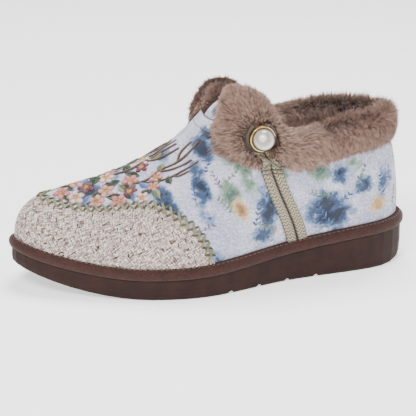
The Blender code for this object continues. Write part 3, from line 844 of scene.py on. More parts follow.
def linen_shader():
    shader = Shader("toe_cap_linen_fine", roughness=0.88, Sheen_Weight=0.15)
    uv = shader.coordinates("UV")
    slubs = []
    flecks = []
    heights = []
    for lean in (0.72, -0.84):
        heights.append(shader.bands(uv, lean, 230.0, 2.2, Detail=2.0, Detail_Scale=0.6))
        place = shader.scaled(uv, (1.0, 1.0, 1.0), (0.0, 0.0, lean))
        slubs.append(shader.noise(shader.scaled(place, (1000.0, 300.0, 1.0)), 1.0, 2.0, 0.6))
        drawn_out = shader.scaled(place, (900.0, 170.0, 1.0), (0.0, 0.0, 0.04))
        flecks.append(shader.noise(drawn_out, 1.0, 1.0, 0.5))
    cross = shader.math("MULTIPLY", *heights)
    grain = shader.noise(uv, 560.0, 2.0, 0.75)
    color = shader.mix(shader.noise(shader.coordinates(), 60.0), srgb(208, 190, 182), srgb(188, 170, 165))
    color = shader.mix(shader.ramp(grain, 0.52, 0.64, 0.0, 0.8), color, srgb(112, 90, 82))
    for slub in slubs:
        color = shader.mix(shader.ramp(slub, 0.46, 0.36, 0.0, 0.95), color, srgb(252, 244, 238))
        color = shader.mix(shader.ramp(slub, 0.54, 0.62, 0.0, 0.8), color, srgb(104, 80, 66))
    color = shader.mix(shader.ramp(cross, 0.0, 0.35, 0.5, 0.0), color, srgb(104, 84, 74))
    for fleck in flecks:
        color = shader.mix(shader.ramp(fleck, 0.63, 0.67, 0.0, 0.95), color, srgb(50, 24, 8))
    shader.paint(color)
    height = shader.math("ADD", cross, shader.math("MULTIPLY", slubs[1], 0.9))
    shader.bump(height, 0.55, 0.35 * MM)
    return shader.material


def make_toe_cap():
    first = CAP_EDGE[0][0]
    turn = np.linspace(first, 1 - first, CAP_COLUMNS)
    way = np.linspace(0, 1, CAP_FINE_ROWS) ** 0.85
    share = way[:, None] * cap_reach(turn)[None, :]
    whole = np.broadcast_to(turn[None, :], share.shape)
    outer = upper_point(whole, share, cap_lift(whole, share))
    inner = upper_point(whole, share, GAP * 0.4)
    inner[0] = outer[0] - (outer[1] - outer[0]) * 0.2
    points = np.concatenate([outer, inner[::-1]])
    run = arc_lengths(OUTLINE_AT(turn), 0)
    u = np.broadcast_to(run[None, :], points.shape[:2])
    v = arc_lengths(points, 0)
    mesh_object(
        "toe_cap_cloth",
        points,
        grid_faces(*points.shape[:2]),
        linen_shader(),
        replaces=("toe_cap",),
        uv=grid_uv(u, v),
    )


STITCH_PITCH = 5.2 * MM
STITCH_WIDTH = 5.0
STITCH_TALL = 6.2
STRAND_RADIUS = 0.34 * MM


def edge_places(spacing):
    """Places along the cap's edge at a spacing, as turns and shares."""
    first = CAP_EDGE[0][0]
    turn = np.linspace(first + 0.004, 1 - first - 0.004, 1200)
    share = cap_reach(turn)
    run = arc_lengths(section(turn, share), 0)
    count = int(run[-1] / spacing)
    at = (np.arange(count) + 0.5) * run[-1] / count
    return np.interp(at, run, turn), np.interp(at, run, share)


def make_cross_stitches():
    """Crosses of thick thread that hold the cap's edge down."""
    threads = Threads(6)
    rng = np.random.default_rng(SEED)
    turns, shares = edge_places(STITCH_PITCH)
    for turn, share in zip(turns, shares):
        ahead = turn + SMALL_TURN
        edge_way = section(ahead, cap_reach(np.array(ahead))) - section(turn, share)
        up_vec = unit(section(turn, share + SMALL_SHARE) - section(turn, share))
        round_vec = unit(section(turn + SMALL_TURN, share) - section(turn, share))
        rising = float(edge_way @ (up_vec - round_vec * (up_vec @ round_vec)))
        slope = math.atan2(rising, float(edge_way @ round_vec))
        for order, lean in enumerate((-1, 1)):
            wobble = rng.normal(0, 0.16, 4)
            for strand in (-1, 0, 1):
                way = np.linspace(-0.5, 0.5, 9)
                a = way * (STITCH_WIDTH + wobble[0]) * lean + strand * 0.52 + wobble[1]
                b = way * (STITCH_TALL + wobble[2]) + wobble[3] - 0.2
                ahead_mm = a * math.cos(slope) - b * math.sin(slope)
                up_mm = a * math.sin(slope) + b * math.cos(slope)
                at_turn, at_share = moved(np.full(9, turn), np.full(9, share), ahead_mm, up_mm)
                at_share = np.clip(at_share, 0.002, 1)
                below = at_share < cap_reach(at_turn)
                ground = np.where(below, GAP + CAP_THICKNESS, 0.2 * MM)
                ground = np.convolve(np.pad(ground, 1, mode="edge"), (0.25, 0.5, 0.25), mode="valid")
                arch = np.cos(way * math.pi * 0.96)
                lift = ground + STRAND_RADIUS * (0.1 + 1.1 * arch + 0.9 * order * arch**2)
                path = upper_point(at_turn, at_share, lift)
                tint = 0.15 + 0.7 * order + rng.normal(0, 0.07)
                threads.add(path, STRAND_RADIUS, tint, taper=0.35, up=upper_normal(turn, share))
    material = thread_shader("olive_thread", srgb(40, 42, 24), srgb(138, 134, 92))
    threads.finish("cross_stitches", material)


# Needlework on the vamp. It's a layout of its own: flowering twigs that rise from the cap's edge.

# colour, turn, share, size in mm, first angle in degrees
BLOSSOMS = (
    ("pink", 0.484, 0.395, 5.6, 10),
    ("pale", 0.466, 0.420, 5.8, 40),
    ("rose", 0.448, 0.455, 5.6, 0),
    ("pink", 0.432, 0.500, 5.8, 25),
    ("pale", 0.413, 0.545, 5.0, 55),
    ("wine", 0.477, 0.500, 5.2, 15),
    ("rose", 0.459, 0.540, 5.6, 35),
    ("wine", 0.442, 0.590, 5.0, 5),
    ("pink", 0.426, 0.650, 4.6, 30),
    ("pale", 0.484, 0.600, 5.4, 50),
    ("pink", 0.461, 0.650, 5.6, 12),
    ("rose", 0.445, 0.715, 4.8, 20),
    ("wine", 0.476, 0.730, 4.8, 44),
    ("rose", 0.503, 0.480, 5.6, 5),
    ("pink", 0.508, 0.620, 5.6, 32),
    ("pale", 0.521, 0.400, 5.6, 18),
    ("pink", 0.529, 0.520, 5.6, 60),
    ("wine", 0.547, 0.450, 5.2, 48),
    ("rose", 0.566, 0.505, 5.6, 8),
    ("pale", 0.551, 0.580, 5.6, 28),
    ("pink", 0.585, 0.560, 5.2, 38),
    ("rose", 0.532, 0.680, 5.2, 0),
    ("wine", 0.570, 0.640, 4.8, 22),
    ("pale", 0.505, 0.760, 5.0, 52),
)

# colour, turn, share, length in mm, angle in degrees
LEAVES = (
    ("leaf", 0.494, 0.430, 9, 150),
    ("leaf", 0.475, 0.395, 8, 20),
    ("leaf", 0.457, 0.490, 9, 70),
    ("leaf", 0.442, 0.525, 10, 160),
    ("leaf", 0.470, 0.460, 8, 110),
    ("leaf", 0.450, 0.620, 10, 20),
    ("leaf", 0.421, 0.590, 9, 140),
    ("sage", 0.402, 0.580, 8, 60),
    ("leaf", 0.434, 0.560, 8, 40),
    ("leaf", 0.468, 0.590, 10, 120),
    ("leaf", 0.491, 0.560, 10, 60),
    ("sage", 0.453, 0.590, 7, 200),
    ("leaf", 0.470, 0.680, 9, 160),
    ("leaf", 0.435, 0.690, 8, 100),
    ("sage", 0.456, 0.765, 8, 60),
    ("leaf", 0.489, 0.690, 9, 30),
    ("sage", 0.485, 0.800, 8, 110),
    ("leaf", 0.418, 0.700, 7, 60),
    ("leaf", 0.512, 0.550, 10, 150),
    ("sage", 0.514, 0.430, 8, 100),
    ("leaf", 0.538, 0.470, 9, 30),
    ("leaf", 0.540, 0.590, 9, 110),
    ("leaf", 0.558, 0.530, 9, 60),
    ("sage", 0.577, 0.490, 8, 160),
    ("leaf", 0.520, 0.680, 9, 60),
    ("leaf", 0.560, 0.680, 8, 130),
    ("leaf", 0.600, 0.600, 8, 20),
    ("sage", 0.545, 0.750, 8, 80),
    ("sky", 0.456, 0.445, 7, 90),
    ("sky", 0.440, 0.650, 7, 10),
    ("sky", 0.493, 0.500, 7, 60),
    ("sky", 0.423, 0.545, 6, 80),
    ("sky", 0.537, 0.630, 7, 30),
)

# Twigs: places as turn and share
TWIGS = (
    ((0.458, 0.60), (0.449, 0.68), (0.452, 0.76), (0.447, 0.84), (0.451, 0.92)),
    ((0.451, 0.74), (0.439, 0.78), (0.430, 0.84)),
    ((0.449, 0.82), (0.459, 0.86), (0.462, 0.91)),
    ((0.448, 0.66), (0.432, 0.70), (0.418, 0.76), (0.409, 0.83)),
    ((0.423, 0.74), (0.412, 0.73), (0.402, 0.76)),
    ((0.490, 0.58), (0.482, 0.70), (0.489, 0.79), (0.482, 0.88)),
    ((0.486, 0.76), (0.474, 0.81), (0.469, 0.87)),
    ((0.514, 0.58), (0.524, 0.68), (0.520, 0.78), (0.530, 0.87)),
    ((0.521, 0.76), (0.510, 0.82), (0.507, 0.89)),
    ((0.548, 0.60), (0.560, 0.68), (0.556, 0.77), (0.566, 0.85)),
    ((0.558, 0.72), (0.574, 0.74), (0.586, 0.80)),
)

THREAD_COLOURS = {
    "pink": (srgb(110, 34, 44), srgb(218, 132, 128)),
    "rose": (srgb(122, 58, 56), srgb(226, 160, 146)),
    "pale": (srgb(146, 90, 88), srgb(240, 204, 194)),
    "wine": (srgb(44, 2, 16), srgb(112, 20, 48)),
    "leaf": (srgb(18, 34, 24), srgb(62, 84, 58)),
    "sage": (srgb(84, 100, 66), srgb(148, 160, 116)),
    "sky": (srgb(44, 88, 150), srgb(120, 160, 208)),
    "gold": (srgb(196, 132, 20), srgb(246, 212, 90)),
    "bark": (srgb(46, 22, 12), srgb(112, 70, 46)),
}

SATIN_RADIUS = 0.26 * MM
PETAL_STRANDS = 13
LEAF_STRANDS = 15


def patch_path(turn, share, ahead, up, lift):
    """Paths over the cloth from offsets in mm about a place."""
    at_turn, at_share = moved(np.full(ahead.shape, turn), np.full(ahead.shape, share), ahead, up)
    return cloth_point(at_turn, np.clip(at_share, 0.01, 0.995), lift)


def add_blossom(threads, rng, turn, share, size, first):
    """Five satin petals round a knot of small stitches, darker at a petal's foot and edges."""
    up = upper_normal(np.array(turn), np.array(share))
    strand = np.tile(np.linspace(-1, 1, PETAL_STRANDS), 5)[:, None]
    petal = np.radians(first + 72 * np.repeat(np.arange(5), PETAL_STRANDS))[:, None] + rng.normal(0, 0.02)
    way = np.linspace(0, 1, 5)[None, :]
    reach = size * (1 - 0.36 * np.abs(strand) ** 2.4) * rng.uniform(0.96, 1.03, strand.shape)
    radius = 0.2 * size + (reach - 0.2 * size) * way
    angle = petal + strand * (0.34 + 0.26 * np.sin(math.pi * way**0.7) + 0.1 * way)
    lift = SATIN_RADIUS * (0.4 + 1.7 * np.sin(math.pi * (0.06 + 0.88 * way))) * (1.1 - 0.4 * np.abs(strand))
    paths = patch_path(turn, share, radius * np.cos(angle), radius * np.sin(angle), lift)
    for path, side in zip(paths, strand[:, 0]):
        tint = np.clip(0.95 - 0.9 * abs(side) ** 3, 0, 1) * np.array([0.3, 0.75, 1.0, 1.0, 0.85])
        threads[0].add(path, SATIN_RADIUS, tint + rng.normal(0, 0.08), taper=0.3, up=up)
    knot = np.arange(10)[:, None]
    angle = knot * 2.4
    away = 0.1 * size * np.sqrt(knot)
    spot = np.array([-0.4, 0.0, 0.4])[None, :]
    ahead = away * np.cos(angle) + spot * np.cos(angle + 1.2)
    rise = away * np.sin(angle) + spot * np.sin(angle + 1.2)
    height = np.broadcast_to(np.array([0.4, 0.75, 0.4]) * MM, ahead.shape)
    for path in patch_path(turn, share, ahead, rise, height):
        threads[1].add(path, 0.34 * MM, rng.uniform(0.2, 1), taper=0.5, up=up)


def add_leaf(threads, rng, turn, share, length, angle):
    """A leaf of slanting satin stitches on both sides of a midrib."""
    up = upper_normal(np.array(turn), np.array(share))
    angle = math.radians(angle)
    place = np.tile(np.linspace(0.05, 0.95, LEAF_STRANDS), 2)[:, None]
    side = np.repeat([-1, 1], LEAF_STRANDS)[:, None]
    wide = 0.3 * length * np.sin(math.pi * place**0.8) + 0.15
    way = np.linspace(0, 1, 4)[None, :]
    run = (place - 0.66 + 0.26 * way) * length
    off = side * wide * way
    ahead = run * math.cos(angle) - off * math.sin(angle)
    rise = run * math.sin(angle) + off * math.cos(angle)
    lift = np.broadcast_to(SATIN_RADIUS * (0.5 + 1.2 * np.sin(math.pi * (0.1 + 0.8 * way))), run.shape)
    for path, half in zip(patch_path(turn, share, ahead, rise, lift), side[:, 0]):
        threads.add(path, SATIN_RADIUS, 0.4 + 0.3 * half + rng.normal(0, 0.14), taper=0.3, up=up)


def smooth_places(places, count):
    places = np.array(places)
    knots = np.linspace(0, 1, len(places))
    found = smooth_curve(knots, places)(np.linspace(0, 1, count))
    return found[:, 0], found[:, 1]


def make_needlework():
    rng = np.random.default_rng(SEED + 1)
    bundles = {key: Threads(4) for key in THREAD_COLOURS}
    for places in TWIGS:
        turns, shares = smooth_places(places, 60)
        for strand in (-1, 0, 1):
            at_turn, at_share = moved(turns, shares, 0.6 * strand, 0.15 * strand)
            lift = (0.3 + 0.2 * (strand == 0)) * MM
            twig = cloth_point(at_turn, at_share, lift)
            bundles["bark"].add(twig, 0.46 * MM, 0.4 + 0.35 * strand, taper=0.5)
        for turn, share in zip(turns[2:-2:4], shares[2:-2:4]):
            lean = rng.uniform(-0.4, 0.4)
            way = np.linspace(-1, 1, 5)
            path = patch_path(turn, share, way, way * lean, (0.1 + 0.6 * (1 - way**2)) * MM)
            bundles["bark"].add(path, 0.2 * MM, rng.uniform(0.5, 1), up=upper_normal(turn, share))
    for kind, turn, share, size, first in BLOSSOMS:
        add_blossom((bundles[kind], bundles["gold"]), rng, turn, share, size, first)
    for kind, turn, share, length, angle in LEAVES:
        add_leaf(bundles[kind], rng, turn, share, length, angle)
    for kind, bundle in bundles.items():
        material = thread_shader(f"thread_{kind}", *THREAD_COLOURS[kind], sheen=0.3, roughness=0.42)
        bundle.finish(f"needlework_{kind}", material)


# Sprigs of the print: colour, turn, share, length in mm, angle in degrees
SPRIGS = (
    ("navy", 0.352, 0.58, 17, 80),
    ("moss", 0.318, 0.72, 15, 130),
    ("plum", 0.335, 0.66, 14, 60),
    ("navy", 0.375, 0.78, 14, 100),
    ("moss", 0.290, 0.46, 16, 40),
    ("plum", 0.300, 0.28, 15, 150),
    ("navy", 0.232, 0.34, 18, 95),
    ("moss", 0.212, 0.22, 13, 30),
    ("navy", 0.140, 0.20, 22, 60),
    ("navy", 0.122, 0.30, 18, 140),
    ("moss", 0.150, 0.44, 17, 20),
    ("moss", 0.100, 0.56, 16, 120),
    ("navy", 0.066, 0.40, 17, 70),
    ("plum", 0.040, 0.22, 15, 110),
    ("moss", 0.030, 0.60, 14, 60),
    ("navy", 0.395, 0.92, 11, 10),
    ("plum", 0.366, 0.40, 12, 30),
    ("navy", 0.640, 0.50, 18, 80),
    ("moss", 0.672, 0.68, 16, 40),
    ("plum", 0.700, 0.28, 15, 120),
    ("navy", 0.745, 0.44, 20, 70),
    ("moss", 0.772, 0.24, 15, 150),
    ("navy", 0.812, 0.50, 18, 110),
    ("plum", 0.842, 0.30, 16, 60),
    ("moss", 0.872, 0.54, 17, 20),
    ("navy", 0.910, 0.30, 19, 100),
    ("plum", 0.952, 0.52, 15, 50),
    ("moss", 0.978, 0.26, 15, 130),
)

PRINT_COLOURS = {
    "navy": (srgb(34, 60, 104), srgb(96, 126, 172)),
    "moss": (srgb(84, 104, 84), srgb(138, 154, 132)),
    "plum": (srgb(92, 70, 108), srgb(150, 128, 160)),
}


INK_LIFT = 0.05 * MM


def make_print():
    """Sprigs printed on the cloth: strips as thin as ink that follow it."""
    rng = np.random.default_rng(SEED + 4)
    inks = {key: Threads(4) for key in PRINT_COLOURS}
    for kind, turn, share, length, angle in SPRIGS:
        up = upper_normal(np.array(turn), np.array(share))
        lean = math.radians(angle)
        way = np.linspace(0, 1, 12)
        bend = rng.uniform(-0.2, 0.2) * length * (way - 0.5) ** 2
        run = (way - 0.5) * length
        ahead = run * math.cos(lean) - bend * math.sin(lean)
        rise = run * math.sin(lean) + bend * math.cos(lean)
        stem = patch_path(turn, share, ahead, rise, np.full(way.shape, INK_LIFT))
        inks[kind].add(stem, 0.22 * MM, 0.3, taper=0.5, flat=0.15, up=up)
        for index in range(2, 12, 2):
            for side in (-1, 1):
                turned = lean + side * rng.uniform(0.6, 0.95)
                leaf = np.linspace(0, 1, 6) * rng.uniform(0.08, 0.22) * length
                leaf_ahead = ahead[index] + leaf * math.cos(turned)
                leaf_rise = rise[index] + leaf * math.sin(turned)
                path = patch_path(turn, share, leaf_ahead, leaf_rise, np.full(leaf.shape, INK_LIFT))
                radius = rng.uniform(0.3, 0.7) * MM
                tint = rng.uniform(0, 1)
                inks[kind].add(path, radius, tint, taper=0.8, flat=0.1, up=up)
    for kind, ink in inks.items():
        material = thread_shader(f"ink_{kind}", *PRINT_COLOURS[kind], sheen=0.0, roughness=0.85)
        ink.finish(f"print_{kind}", material)


# Heights along one stitch of a seam, which dips into the cloth at both ends
SEAM_ARCH = np.array([-0.1, 0.25, 0.25, -0.1]) * MM


def make_seams():
    """The back seam with its stitches, and a dark cord behind the vamp's edge: partly piping, partly painted
    shade in the gap behind that edge.
    """
    piping_and_shade_line = Threads(6)
    share = np.linspace(0.02, 0.99, 60)
    for side in (-1, 1):
        at_turn, at_share = moved(np.zeros(60), share, 1.1 * side, 0.0)
        piping_and_shade_line.add(cloth_point(at_turn, at_share, 0.12 * MM), 0.4 * MM, 0.8, flat=0.6)
        for start in np.arange(0.03, 0.95, 0.05):
            step = np.linspace(start, start + 0.03, 4)
            at_turn, at_share = moved(np.zeros(4), step, 2.6 * side, 0.0)
            piping_and_shade_line.add(cloth_point(at_turn, at_share, SEAM_ARCH), 0.24 * MM, 0.35)
    # The dark cord along the vamp's top edge: partly piping, partly painted shade of the gap behind the edge.
    turn = np.linspace(0.415, 0.585, 90)
    edge = upper_point(turn, 1.0, -UPPER_WALL * 0.5) + np.array([0, 0, 0.5 * MM])
    piping_and_shade_line.add(edge, 0.55 * MM, 0.0, taper=0.3)
    for start in np.arange(0.418, 0.58, 0.0075):
        step = np.linspace(start, start + 0.005, 4)
        piping_and_shade_line.add(cloth_point(step, 0.965, SEAM_ARCH), 0.22 * MM, 0.55)
    piping_and_shade_line.finish("seams_and_shade_line", thread_shader("seam_and_shade_thread", srgb(48, 40, 44), srgb(176, 176, 196)))


# Sole


def plate_rings(profile, low, high, turn):
    """The rings of a plate's side. A row of the profile is an inset in metres and a share of the height."""
    rings = []
    for inset, share in profile:
        points = plan(turn, np.full(turn.shape, inset))
        bottom = low(points[:, 0])
        height = bottom + share * (high(points[:, 0]) - bottom)
        rings.append(np.concatenate([points, height[:, None]], axis=1))
    return np.array(rings)


def ladder_faces(count, start):
    """Quads across a ring, from one side to the other."""
    faces = []
    for here in range(count // 2):
        corners = (here, here + 1, (count - here - 1) % count, (count - here) % count)
        faces.append([start + corner for corner in dict.fromkeys(corners)])
    return faces


def plate_object(name, profile, low, high, count, material, slot, replaces):
    rings = plate_rings(profile, low, high, stations(count))
    rows = len(rings)
    faces = grid_faces(rows, count, wrap=True).tolist()
    faces += ladder_faces(count, 0) + ladder_faces(count, (rows - 1) * count)
    plate = mesh_object(name, rings, faces, material, (replaces,))
    plate.data.set_sharp_from_angle(angle=math.radians(50))
    mend(plate.data)
    return plate


SOLE_STATIONS = 320
BAND_STITCH_PITCH = 3.3 * MM
BAND_STITCH_INSET = 2.55 * MM
BAND_STITCH_LEVEL = 0.935


def make_sole(frame):
    suede = Shader("suede_fine", roughness=0.95, Sheen_Weight=0.12, Sheen_Roughness=0.4)
    place = suede.coordinates()
    nap = suede.noise(place, 160.0, 4.0, 0.6, 0.5)
    grain = suede.noise(place, 1500.0, 3.0, 0.7)
    color = suede.mix(suede.ramp(nap, 0.36, 0.64), srgb(39, 18, 14), srgb(50, 25, 20))
    suede.paint(suede.mix(suede.ramp(grain, 0.42, 0.66, 0.0, 0.5), color, srgb(80, 46, 37)))
    suede.bump(suede.math("ADD", grain, suede.math("MULTIPLY", nap, 1.2)), 0.5, 0.25 * MM)
    profile = [(inset * MM, min(share, 1.0)) for inset, share in BEAD_AT(np.linspace(0, 1, 22))]
    plate_object(
        "suede_band",
        profile,
        lambda x: outsole_top(x) + GAP,
        deck_height,
        SOLE_STATIONS,
        suede.material,
        "midsole_suede",
        "midsole",
    )
    threads = Threads(5)
    turn = np.linspace(0, 1, 1601)
    run = arc_lengths(OUTLINE_AT(turn), 0)
    count = int(run[-1] / BAND_STITCH_PITCH)
    dip = np.array([-0.25, 0.16, 0.24, 0.16, -0.25]) * MM
    for index in range(count):
        ends = (index + np.array([0.16, 0.3, 0.5, 0.7, 0.84])) * run[-1] / count
        at = np.interp(ends, run, turn)
        ground = plan(at, np.full(at.shape, BAND_STITCH_INSET))
        height = outsole_top(ground[:, 0]) + GAP + (BAND_HEIGHT - GAP) * BAND_STITCH_LEVEL
        path = np.concatenate([ground, (height + dip)[:, None]], axis=1)
        threads.add(path, 0.24 * MM, 0.5, taper=0.2)
    threads.finish("band_stitches", thread_shader("brown_thread", srgb(70, 44, 36), srgb(122, 88, 72)))
    rubber = Shader("rubber_fine", roughness=0.7, Specular_IOR_Level=0.25)
    place = rubber.coordinates()
    mottle = rubber.noise(place, 90.0, 4.0, 0.6)
    pores = rubber.noise(place, 1100.0, 3.0, 0.65)
    rubber.paint(rubber.mix(rubber.ramp(mottle, 0.3, 0.7), srgb(34, 16, 12), srgb(44, 22, 16)))
    rubber.bump(rubber.math("ADD", pores, mottle), 0.3, 0.2 * MM)
    frame["nodes"]["outsole"].material_slots[0].material = rubber.material


# Strap, pearl and bezel

RIBBON_WIDTH = 6.9 * MM
RIBBON_THICKNESS = 1.2 * MM
RIBBON_SEAM = 0.9 * MM
STRAP_BASE_TURN = 0.168
STRAP_TOP_TURN = 0.254
STRAP_BOW = 0.0155
STRAP_TOP_SHARE = 0.745
LOOP_RADIUS = 9.7 * MM
PEARL_RADIUS = 7.0 * MM
PEARL_BACK = 4.0 * MM
PEARL_ALONG = 110.8 * MM
PEARL_OUT = 43.6 * MM
PEARL_HEIGHT = 94.8 * MM
BEZEL_WALL = 0.6 * MM
BEZEL_BASE = 1.0 * MM
BEZEL_RIM = 1.6 * MM

# Head of the strap above its two ribbons, in radii of its loop from the middle of the pearl
STRAP_HEAD = (
    # rise, half width, share of the way over to the pearl, out from the loop's plane
    (-1.70, 0.58, 0.14, 0.24),
    (-1.42, 0.44, 0.34, 0.26),
    (-1.14, 0.52, 0.62, 0.12),
    (-0.86, 0.74, 0.86, 0.00),
)
LEG_ROWS = 70
HEAD_ROWS = 26
STRAP_COLUMNS = 33


def pearl_centre():
    return np.array([SOLE_LENGTH / 2 - PEARL_ALONG, -PEARL_OUT + SIDE_SHIFT, PEARL_HEIGHT])


def loop_plane():
    return pearl_centre()[1] + PEARL_BACK + BEZEL_BASE + 2 * GAP


def strap_grid(lift):
    """Rows of points over the two ribbons and the neck. lift holds a height for each column."""
    half = RIBBON_WIDTH + RIBBON_SEAM / 2
    columns = np.linspace(-half, half, STRAP_COLUMNS)
    rows = []
    for share in np.linspace(0, STRAP_TOP_SHARE, LEG_ROWS):
        way = share / STRAP_TOP_SHARE
        middle = STRAP_BASE_TURN + (STRAP_TOP_TURN - STRAP_BASE_TURN) * way - STRAP_BOW * 4 * way * (1 - way)
        step = section(middle + SMALL_TURN, share) - section(middle - SMALL_TURN, share)
        turn = middle - columns * 2 * SMALL_TURN / np.linalg.norm(step)
        rows.append(upper_point(turn, share, lift))
    top = rows[-1].mean(axis=0)
    pearl = pearl_centre()
    knots = [0.0]
    ends = [rows[-1].reshape(-1)]
    for rise, wide, over, out in STRAP_HEAD:
        x = top[0] + (pearl[0] - top[0]) * over + columns / half * wide * LOOP_RADIUS
        y = loop_plane() - out * LOOP_RADIUS - np.mean(lift)
        height = np.full(x.shape, pearl[2] + rise * LOOP_RADIUS)
        row = np.stack([x, y - (lift - np.mean(lift)), height], axis=1)
        way_on = row.mean(axis=0) - ends[-1].reshape(-1, 3).mean(axis=0)
        knots.append(knots[-1] + np.linalg.norm(way_on))
        ends.append(row.reshape(-1))
    before = rows[-2].reshape(-1)
    step = np.linalg.norm(rows[-1].mean(axis=0) - rows[-2].mean(axis=0))
    neck = smooth_curve([-step, *knots], [before, *ends])
    for place in np.linspace(0, knots[-1], HEAD_ROWS)[1:]:
        rows.append(neck(place).reshape(-1, 3))
    return np.array(rows)


def ribbon_shader():
    shader = Shader("ribbon_fine", roughness=0.78, Sheen_Weight=0.2)
    uv = shader.coordinates("UV")
    waves = [shader.bands(uv, lean, 175.0, 0.5) for lean in (0.8, -0.8)]
    side = shader.node("ShaderNodeSeparateXYZ", "X", Vector=uv)
    pick = shader.math("PINGPONG", side, RIBBON_WIDTH / 4)
    turning = shader.ramp(pick, RIBBON_WIDTH / 8 - 0.1 * MM, RIBBON_WIDTH / 8 + 0.1 * MM)
    chevron = shader.mix(turning, *waves)
    fine = shader.noise(uv, 1200.0, 2.0)
    color = shader.mix(shader.ramp(chevron, 0.15, 0.75), srgb(66, 56, 40), srgb(160, 148, 122))
    color = shader.mix(shader.ramp(fine, 0.3, 0.7, 0.0, 0.2), color, srgb(190, 180, 158))
    # Painted shade: this attribute darkens the ribbon towards a dark brown in the groove between the ribbons,
    # at their edges, on their back and in the loop's pleats.
    shader.paint(shader.mix(shader.attribute("painted_shade"), color, srgb(34, 27, 18)))
    shader.bump(chevron, 0.6, 0.3 * MM)
    return shader.material


def make_strap():
    half = RIBBON_WIDTH + RIBBON_SEAM / 2
    columns = np.linspace(-half, half, STRAP_COLUMNS)
    within = np.clip((np.abs(columns) - RIBBON_SEAM / 2) / RIBBON_WIDTH, 0, 1)
    pillow = np.sqrt(np.clip(1 - (2 * within - 1) ** 6, 0, 1))
    lift = GAP + RIBBON_THICKNESS * (0.25 + 0.9 * pillow)
    front = strap_grid(lift)
    back = strap_grid(np.full(STRAP_COLUMNS, GAP * 0.5))
    points = np.concatenate([front, back[:, ::-1]], axis=1)
    rows, count = points.shape[:2]
    # Painted shade over the strap: darkest in the groove between the two ribbons, darker at their outer
    # edges, and darker on the back face that lies against the cloth.
    groove = np.exp(-((np.abs(columns) / (0.8 * MM)) ** 2))
    edges = np.exp(-(((half - np.abs(columns)) / (0.45 * MM)) ** 2))
    painted_shade = np.broadcast_to(groove + 0.75 * edges, front.shape[:2])
    painted_shade = np.concatenate([painted_shade, np.full(front.shape[:2], 0.4)], axis=1)
    width = np.broadcast_to(np.concatenate([columns, columns[::-1], columns[:1]]) + half, (rows, count + 1))
    run = arc_lengths(points.mean(axis=1), 0)
    v = np.broadcast_to(run[:, None], (rows, count))
    material = ribbon_shader()
    mesh_object(
        "strap_ribbons",
        points,
        grid_faces(rows, count, wrap=True),
        material,
        replaces=("strap",),
        uv=grid_uv(width, v, wrap=True),
        colors={"painted_shade": np.clip(painted_shade, 0, 1)},
    )
    make_loop(material)
    make_strap_threads(front)


LOOP_PLEATS = 46


def make_loop(material):
    """The ring of gathered ribbon round the button."""
    pearl = pearl_centre()
    angle = np.linspace(-math.radians(238), math.radians(58), 150)
    wave = np.sin(angle * LOOP_PLEATS)
    pleat = 0.14 * MM * wave
    ring = np.linspace(0, 2 * math.pi, 15)[:-1]
    middle = (LOOP_RADIUS + PEARL_RADIUS + BEZEL_WALL) / 2 + 0.1 * MM
    points = []
    for at, fold in zip(angle, pleat):
        away = middle + (0.85 * MM + fold) * np.cos(ring)
        out = loop_plane() - 0.9 * MM - (1.2 * MM + fold) * np.sin(ring)
        ring_points = [pearl[0] + away * math.cos(at), out, pearl[2] + away * math.sin(at)]
        points.append(np.stack(ring_points, axis=1))
    points = np.array(points)
    rows, count = points.shape[:2]
    faces = grid_faces(rows, count, wrap=True)[:, ::-1].tolist()
    faces.append(list(range(count)))
    faces.append(list(range((rows - 1) * count, rows * count))[::-1])
    # Painted shade on the loop: darker all round, and darker still in the hollows between its pleats.
    painted_shade = np.repeat(np.clip(0.55 - 0.35 * wave, 0, 1), count)
    mesh_object("strap_loop", points, faces, material, colors={"painted_shade": painted_shade})


def make_strap_threads(front):
    """The dark seam between the ribbons, the stitches under the neck and the crossed fold in the neck."""
    threads = Threads(5)
    rows = len(front)
    centre = STRAP_COLUMNS // 2
    out = unit(np.cross(front[1:-1, -1] - front[1:-1, 0], front[2:, centre] - front[:-2, centre]))
    out = np.concatenate([out[:1], out, out[-1:]])
    if out[10][1] > 0:
        out = -out
    for row in range(2, LEG_ROWS - 2, 2):
        for side in (-1, 1):
            column = centre + side * 2
            start = front[row, column] + out[row] * 0.1 * MM
            end = front[row + 1, centre] + out[row] * 0.25 * MM
            threads.add([start, (start + end) / 2 + out[row] * 0.15 * MM, end], 0.2 * MM, 0.1)
    neck = LEG_ROWS + 1
    for row, tint in ((neck - 5, 0.2), (neck - 2, 0.1)):
        threads.add(front[row, 1:-1:2] + out[row] * 0.3 * MM, 0.3 * MM, tint)
    top = rows - 4
    for order, flip in enumerate((1, -1)):
        way = np.linspace(0, 1, 12)
        at_row = (neck + 1 + (top - neck - 2) * way).astype(int)
        over = np.round(centre + flip * (way - 0.5) * 2 * (centre - 3))
        at_column = np.clip(over, 1, STRAP_COLUMNS - 2).astype(int)
        path = front[at_row, at_column] + out[at_row] * (0.35 + 0.3 * order) * MM
        threads.add(path, 0.75 * MM, 0.6, taper=0.4, flat=0.6)
        threads.add(path + np.array([0.9 * MM, -0.25 * MM, 0]), 0.22 * MM, 0.05)
    threads.finish("strap_stitches", thread_shader("strap_thread", srgb(50, 42, 30), srgb(138, 126, 98)))


